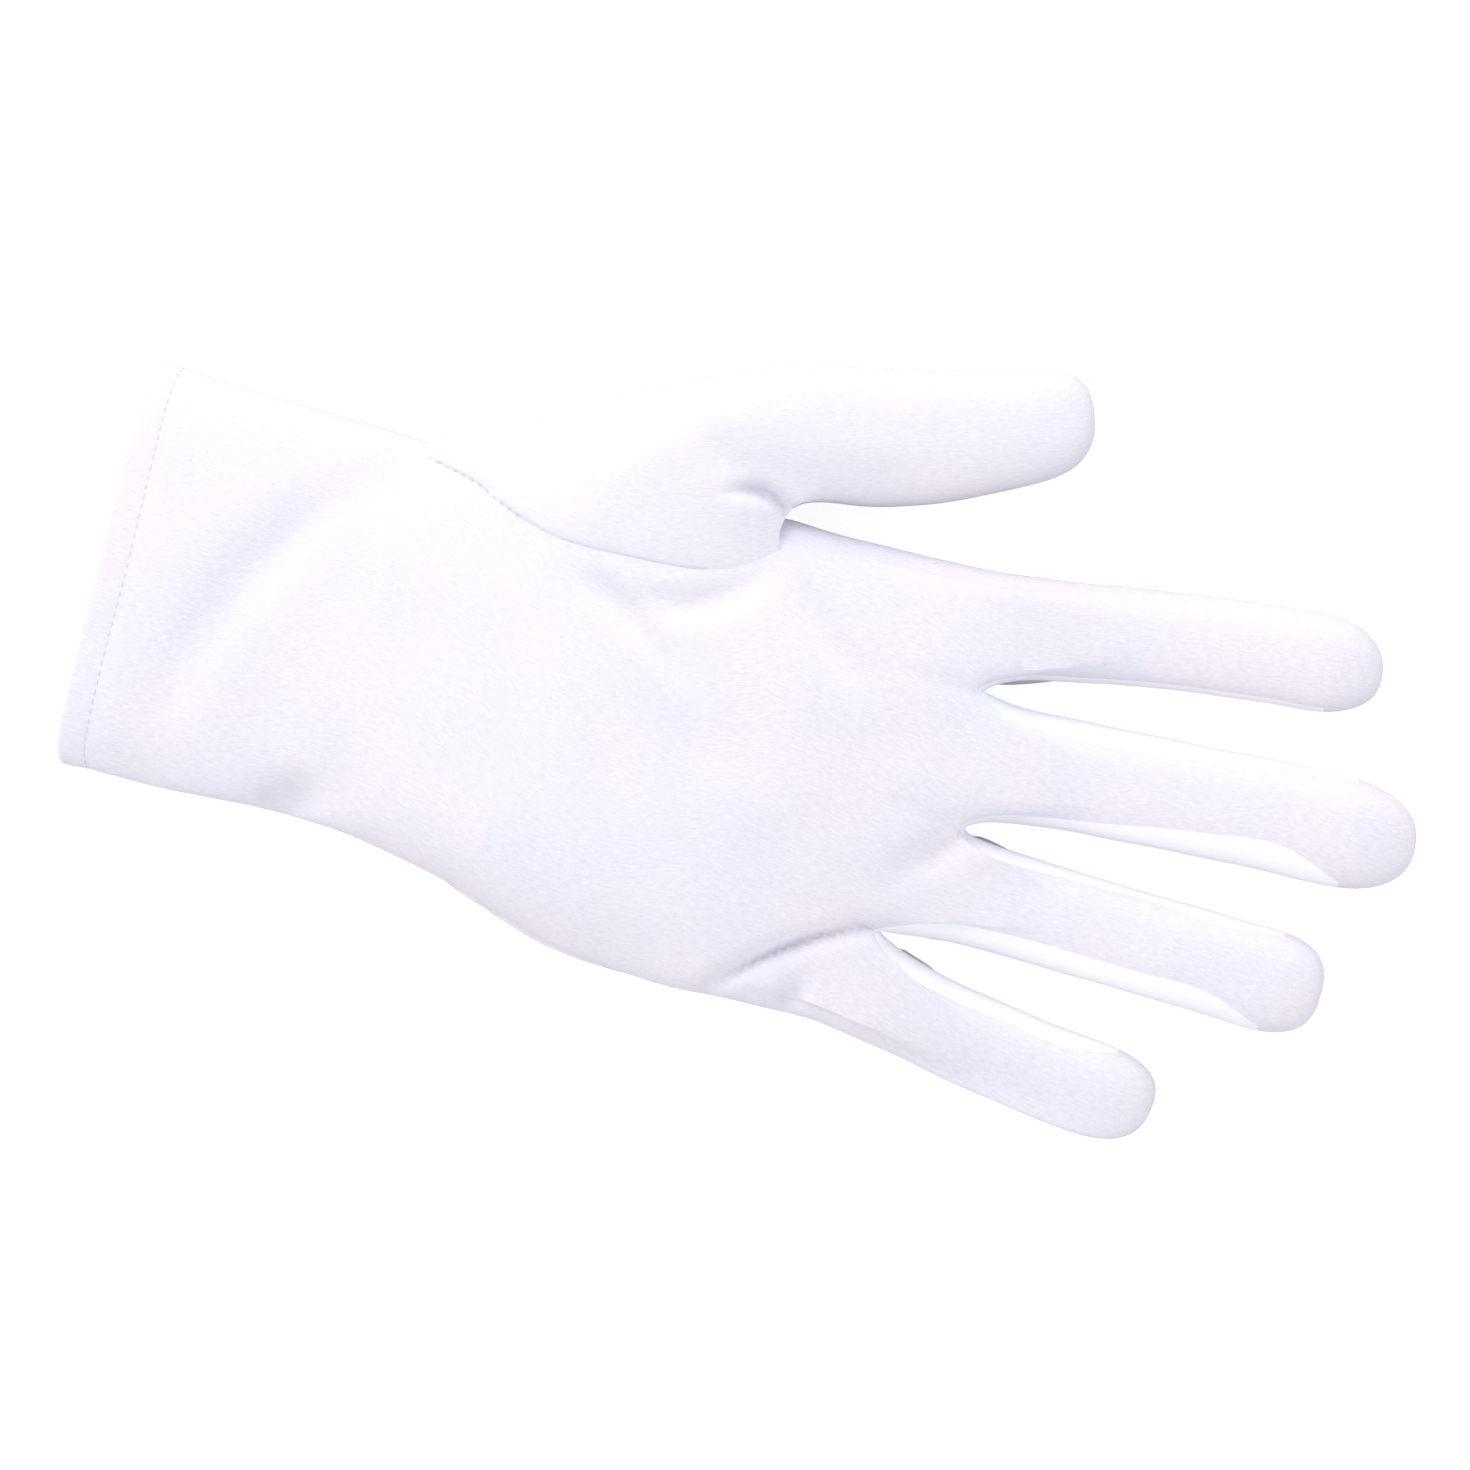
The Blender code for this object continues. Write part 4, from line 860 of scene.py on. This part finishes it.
# The trank's own faces: the body round the thumb's hole, and the fingers' fronts, backs and tips
body_runs = ring_runs(wrapped(hand[body_ids]))
body_cloth = np.stack([body_runs - body_runs[:, palm_faces // 2][:, None],
                       wrapped(hand[body_ids])[..., 0]], axis=2)
keep = np.ones((len(rows) - 1, body.shape[1]), dtype=bool)
keep[notch_row:web_row, in_hole] = False
trank_faces = [grid_faces(body_ids)[keep]]
trank_cloth = [corner_values(body_cloth)[keep].reshape(-1, 2)]
fourchette_faces = {}
for i, (name, ids) in enumerate(finger_ids.items()):
    runs = ring_runs(wrapped(hand[ids]))
    middle = hand[ids[:, FINGER_FACES // 2]]
    along = middle[0, 0] + ring_runs(middle[None])[0]
    finger_cloth = np.stack([runs - runs[:, FINGER_FACES // 2][:, None] + FINGER_CLOTH_STEP * i,
                             np.repeat(along[:, None], runs.shape[1], axis=1)], axis=2)
    corners = corner_values(finger_cloth)
    faces = grid_faces(ids)
    far_wall = (ring_no >= FINGER_FACES) & (ring_no < FINGER_FACES + SIDE_FACES) & (i < 3)
    near_wall = (ring_no >= 2 * FINGER_FACES + SIDE_FACES) & (i > 0)
    in_wall = np.zeros(faces.shape[:2], dtype=bool)
    in_wall[:FOURCHETTE_ROWS] = far_wall | near_wall
    trank_faces.append(faces[~in_wall])
    trank_cloth.append(corners[~in_wall].reshape(-1, 2))
    fourchette_faces[name] = (faces[:FOURCHETTE_ROWS], corners[:FOURCHETTE_ROWS], far_wall, near_wall)
trank_quads = np.concatenate(trank_faces)
trank_fans = np.concatenate([
    np.stack([ring, np.roll(ring, -1), np.full(len(ring), pole_id)], axis=1) for ring, pole_id in tip_fans])
fan_cloth = hand[trank_fans.ravel()][:, 1::-1]
trank_seams = seam_map[np.concatenate([trank_quads.ravel(), trank_fans.ravel()])]

trank_knit = tricot_knit("nylon_tricot_trank", "#EFEBF1", "#E4E0E9", 0.0)
trank = cloth_piece("trank_cloth", hand_settled, hand_normals, trank_quads, trank_fans,
                    np.concatenate(trank_cloth + [fan_cloth]), trank_seams, trank_knit)
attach(trank, "root")
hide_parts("trank")


# The fourchettes: three long strips of the same knit that make the fingers' sides. Each runs down one
# finger's side, round the web and up the next finger's side, and is sewn in on both of its edges.
# Their knit is painted lighter than the trank's and given a faint glow, painted light that keeps
# them white in the shade between the fingers.
fourchette_knit_painted_bright = tricot_knit("nylon_tricot_fourchette_painted_bright", "#F3F2F5", "#EEEDF1", 0.10)
NO_FANS = np.zeros((0, 3), dtype=int)
names = list(FINGERS)
for first, second in zip(names[:-1], names[1:]):
    first_faces, first_corners, far_wall, _ = fourchette_faces[first]
    second_faces, second_corners, _, near_wall = fourchette_faces[second]
    strip_quads = np.concatenate([first_faces[:, far_wall].reshape(-1, 4),
                                  second_faces[:, near_wall].reshape(-1, 4)])
    strip_cloth = np.concatenate([first_corners[:, far_wall].reshape(-1, 2),
                                  second_corners[:, near_wall].reshape(-1, 2)])
    node = f"fourchette_{first}_{second}"
    fourchette = cloth_piece(node + "_cloth", hand_settled, hand_normals, strip_quads, NO_FANS,
                             strip_cloth, seam_map[strip_quads.ravel()], fourchette_knit_painted_bright)
    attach(fourchette, "root")
    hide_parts(node)


# The thumb: one piece of the same knit, wrapped round and set into the almond-shaped seam at the palm's
# edge. Its root leaves the seam in a smooth sweep and narrows into the free thumb.
THUMB_LENGTH = 0.0462
THUMB_WIDTH = 0.0228
THUMB_THICKNESS = 0.0200
THUMB_ROOT_ALONG = 0.800
THUMB_ROOT_ACROSS = 0.550
THUMB_ROOT_LIFT = 0.0135
THUMB_AIM = 15.7
THUMB_BOW = -0.036
THUMB_BLUNT = 2.7
THUMB_TIP = 0.52
THUMB_ROOT_ROWS = 36
THUMB_TUBE_ROWS = 34
THUMB_TIP_POWER = 0.6
# The angles round the thumb, in degrees, at which the loop's wrist and web corners join it
THUMB_WRIST_ANGLE = 152.0
THUMB_WEB_ANGLE = 46.0
# How the thumb's cloth leaves its seam: along the glove, out to the side, and up or down
THUMB_LEAVES_ALONG = 0.95
THUMB_LEAVES_OUT = 0.90
THUMB_LEAVES_OUT_AT_WRIST = 0.35
THUMB_LEAVES_UP = 0.30
THUMB_LEAVES_DOWN = 0.05
THUMB_CLOTH_LEAN = 0.8
# drop is the share of THUMB_ROOT_LIFT that the middle line has lost
THUMB_PROFILE_COLUMNS = ("along", "width", "thickness", "drop")
THUMB_PROFILE = (
    (0.00, 1.05, 1.06, 0.00),
    (0.14, 1.07, 1.02, 0.10),
    (0.50, 0.98, 0.90, 0.30),
    (0.75, 0.87, 0.82, 0.40),
    (1.00, 0.80, 0.76, 0.46),
)
THUMB_FOLDS = (
    ((0.692, 0.385), (0.742, 0.402), (0.776, 0.345), 0.0034, 0.0014, 0.1),
    ((0.655, 0.525), (0.705, 0.448), (0.777, 0.448), 0.0012, 0.0050, 1.0),
    ((0.768, 0.470), (0.835, 0.460), (0.925, 0.504), 0.0008, 0.0050, 1.0),
)


def thumb_surface(loop):
    """The thumb: rings that go over from the seam's loop to the free tube, then to its tip.

    The first rings are cubic curves from each point of the loop, which leave it outwards and join the
    tube's own direction. The tube's sections are superellipses on a bowed middle line.
    """
    ends = 2 * STRIP_FACES + SIDE_FACES
    turning = (THUMB_WRIST_ANGLE, THUMB_WEB_ANGLE, -THUMB_WEB_ANGLE, -THUMB_WRIST_ANGLE,
               THUMB_WRIST_ANGLE - 360.0)
    phi = np.radians(np.concatenate([
        np.linspace(a, b, faces + 1)[:-1]
        for a, b, faces in zip(turning[:-1], turning[1:], (THUMB_ROWS, ends, THUMB_ROWS, ends))]))
    turn = math.radians(THUMB_AIM)
    direction = np.array([math.cos(turn), math.sin(turn), 0.0])
    across = np.array([-math.sin(turn), math.cos(turn), 0.0])
    root = np.array([THUMB_ROOT_ALONG * PALM_LENGTH, THUMB_ROOT_ACROSS * PALM_WIDTH, 0.0])
    tip_start = 1.0 - THUMB_TIP * THUMB_WIDTH / THUMB_LENGTH
    round_end = np.sin(np.arange(1, TIP_ROWS + 1) / (TIP_ROWS + 1) * math.pi / 2)
    places = np.concatenate([np.linspace(0.0, tip_start, THUMB_TUBE_ROWS + 1),
                             blend(tip_start, 1.0, round_end)])
    narrow = arch(np.maximum(0.0, (places - tip_start) / (1.0 - tip_start)), THUMB_BLUNT)
    width, thickness, drop = (curve(THUMB_PROFILE, THUMB_PROFILE_COLUMNS, name, places)
                              for name in THUMB_PROFILE_COLUMNS[1:])
    half = 0.5 * THUMB_WIDTH * narrow * width
    tall = 0.5 * THUMB_THICKNESS * narrow ** THUMB_TIP_POWER * thickness
    line = root + np.outer(places * THUMB_LENGTH, direction)
    line = line + np.outer(THUMB_BOW * THUMB_LENGTH * 4.0 * places * (1.0 - places), across)
    power = 2.0 / FINGER_SQUARENESS
    sideways = -np.sign(np.cos(phi)) * np.abs(np.cos(phi)) ** power
    lift = np.sign(np.sin(phi)) * np.abs(np.sin(phi)) ** power
    tube = line[:, None, :] + np.outer(half, sideways)[:, :, None] * across
    tube[..., 2] = THUMB_ROOT_LIFT * (1.0 - drop)[:, None] + np.outer(tall, lift)
    start = np.stack([
        -THUMB_LEAVES_ALONG * np.cos(phi),
        blend(THUMB_LEAVES_OUT, THUMB_LEAVES_OUT_AT_WRIST, np.clip(-np.cos(phi), 0.0, 1.0)),
        THUMB_LEAVES_UP * np.clip(np.sin(phi), 0.0, 1.0)
        - THUMB_LEAVES_DOWN * np.clip(-np.sin(phi), 0.0, 1.0)], axis=1)
    start = unit(start)
    span = np.linalg.norm(tube[0] - loop, axis=1)[:, None]
    t = (np.arange(THUMB_ROOT_ROWS) / THUMB_ROOT_ROWS)[:, None, None]
    sweep = cubic(loop, tube[0], span * start, span * unit(tube[1] - tube[0]), t)
    rings = np.concatenate([sweep, tube])
    rings[..., 2] = np.maximum(rings[..., 2], 0.0)
    tip = root + direction * THUMB_LENGTH
    tip[2] = THUMB_ROOT_LIFT * (1.0 - THUMB_PROFILE[-1][3])
    return rings, tip


thumb_rings, thumb_tip = thumb_surface(hand[thumb_loop] + ROW_ORIGIN)
thumb_rings[1:] = press_folds(thumb_rings[1:], THUMB_FOLDS)
thumb_rings[..., 2] = np.maximum(thumb_rings[..., 2], 0.0)
thumb_rings -= ROW_ORIGIN
thumb_points = np.concatenate([thumb_rings.reshape(-1, 3), (thumb_tip - ROW_ORIGIN)[None, :]])
thumb_ids = np.arange(thumb_rings.size // 3).reshape(thumb_rings.shape[:2])
thumb_quads = grid_faces(thumb_ids).reshape(-1, 4)
thumb_normals = point_normals(thumb_points, thumb_quads)
thumb_normals[-1] = unit(thumb_normals[thumb_ids[-1]].mean(axis=0))
thumb_gaps = ring_runs(thumb_rings.swapaxes(0, 1)).T
loop_run = np.abs(loop_runs - 0.5 * loop_runs[-1])[:-1]
thumb_seams = np.stack([np.broadcast_to(loop_run, thumb_gaps.shape), thumb_gaps], axis=2).reshape(-1, 2)
thumb_seams = np.vstack([thumb_seams, (0.0, FAR_FROM_SEAMS)])
thumb_settled = settled(thumb_points, thumb_normals, thumb_seams[:, 1])
thumb_settled[thumb_ids[0]] = hand_settled[thumb_loop]
thumb_normals[thumb_ids[0]] = hand_normals[thumb_loop]
thumb_cloth = wrapped(thumb_rings) @ np.array([(0.0, 1.0), (1.0, 0.0), (THUMB_CLOTH_LEAN, 0.0)])
thumb_fans = np.stack([thumb_ids[-1], np.roll(thumb_ids[-1], -1),
                       np.full(thumb_ids.shape[1], len(thumb_points) - 1)], axis=1)
thumb_corners = np.concatenate([thumb_quads.ravel(), thumb_fans.ravel()])
thumb_knit = tricot_knit("nylon_tricot_thumb", "#EFECF1", "#E5E2EA", 0.0)
thumb = cloth_piece("thumb_cloth", thumb_settled, thumb_normals, thumb_quads, thumb_fans,
                    np.concatenate([corner_values(thumb_cloth).reshape(-1, 2),
                                    thumb_points[thumb_fans.ravel()][:, 1::-1]]),
                    thumb_seams[thumb_corners], thumb_knit)
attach(thumb, "root")
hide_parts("thumb")


# The cuff's hem: the trank's end turned in and stitched down, so a second layer of the knit lies
# inside the first at the wrist.
HEM_GAP = 0.0003
hem_ids = body_ids[:HEM_ROWS + 1]
hem_inner = hand_settled[hem_ids] - hand_normals[hem_ids] * (CLOTH + HEM_GAP)
hem_points = hem_inner.reshape(-1, 3)
hem_normals = hand_normals[hem_ids].reshape(-1, 3)
hem_quads = grid_faces(np.arange(len(hem_points)).reshape(hem_ids.shape)).reshape(-1, 4)
hem_knit = tricot_knit("nylon_tricot_hem", "#EFEBF1", "#E8E4EB", 0.0)
hem = cloth_piece("cuff_hem_cloth", hem_points, hem_normals, hem_quads, NO_FANS,
                  corner_values(body_cloth)[:HEM_ROWS].reshape(-1, 2),
                  np.full((hem_quads.size, 2), FAR_FROM_SEAMS), hem_knit)
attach(hem, "root")
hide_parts("cuff_hem")


# The stitches: white sewing thread, coloured grey as painted shade for the shadows in the stitch
# holes, one row round the hem and one along the thumb's seam on the palm. Each stitch is a short bow
# of thread that lies on the knit and dips into it at both ends.
THREAD_RADIUS = 0.00010
STITCH_LENGTH = 0.00120
BOW_SIDES = 8
BOW_RINGS = 7
BOW_END = 0.12
BOW_SINK = 0.4
AHEAD = 0.0002


def thread_stitches(name, path, normals, material):
    """Bows of thread along a path, one for each STITCH.

    A bow is an ellipsoid: its points go round the thread by u and from end to end by v, and its axis
    rises from -BOW_SINK at the ends to 1 - BOW_SINK in the middle, in thread radii.
    """
    run = ring_runs(path[None])[0]
    middles = np.arange(0.5 * STITCH, run[-1] - 0.5 * STITCH, STITCH)
    place, up = (np.stack([np.interp(middles, run, v[:, k]) for k in range(3)], axis=1)
                 for v in (path, normals))
    ahead = np.stack([np.interp(middles + AHEAD, run, path[:, k]) for k in range(3)], axis=1)
    ahead = unit(ahead - place)
    side = np.cross(up, ahead)
    u = np.arange(BOW_SIDES) / BOW_SIDES * 2.0 * math.pi
    v = np.linspace(BOW_END, math.pi - BOW_END, BOW_RINGS)[:, None]
    run_out = -0.5 * STITCH_LENGTH * np.cos(v) * np.ones_like(u)
    side_out = THREAD_RADIUS * np.sin(v) * np.cos(u)
    rise = THREAD_RADIUS * (np.sin(v) * np.sin(u) + np.sin(v) ** 2 - BOW_SINK)
    grid = place[:, None, None] + sum(
        share[None, :, :, None] * axis[:, None, None]
        for share, axis in ((run_out, ahead), (side_out, side), (rise, up)))
    ids = np.arange(grid.size // 3).reshape(grid.shape[:3])
    low, high = ids[:, :-1], ids[:, 1:]
    quads = np.stack([low, np.roll(low, -1, axis=2), np.roll(high, -1, axis=2), high], axis=3)
    quads = quads.reshape(-1, 4)
    ends = ids[:, -1].tolist() + ids[:, 0, ::-1].tolist()
    return surface_mesh(name, grid.reshape(-1, 3), quads.tolist() + ends, material)


thread = bpy.data.materials.new("polyester_thread_painted_shade")
thread.use_nodes = True
tree = thread.node_tree
place = add_node(tree, "ShaderNodeTexCoord")
twist = add_node(tree, "ShaderNodeTexNoise", values={"Scale": 4000.0, "Detail": 1.0},
                 links={"Vector": place.outputs["Object"]})
# The thread's greys are painted shade, for the shadows at the stitches
tint_with_painted_shade = add_node(tree, "ShaderNodeMix", {"data_type": "RGBA"},
                {"A": linear("#C4BFCA"), "B": linear("#E4E1E8")}, {"Factor": twist.outputs["Fac"]})
tree.links.new(tint_with_painted_shade.outputs["Result"], tree.nodes["Principled BSDF"].inputs["Base Color"])
tree.nodes["Principled BSDF"].inputs["Roughness"].default_value = 0.5

hem_ring = body_ids[HEM_ROWS]
seam_line = body_ids[notch_row:notch_row + THUMB_ROWS // 3, STRIP_FACES]
for name, ids, node_slot in (("hem_stitches", np.append(hem_ring, hem_ring[0]), "cuff_hem_knit"),
                             ("thumb_seam_stitches", seam_line, "thumb_knit")):
    stitches = thread_stitches(name, hand_settled[ids], hand_normals[ids], thread)
    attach(stitches, "root")
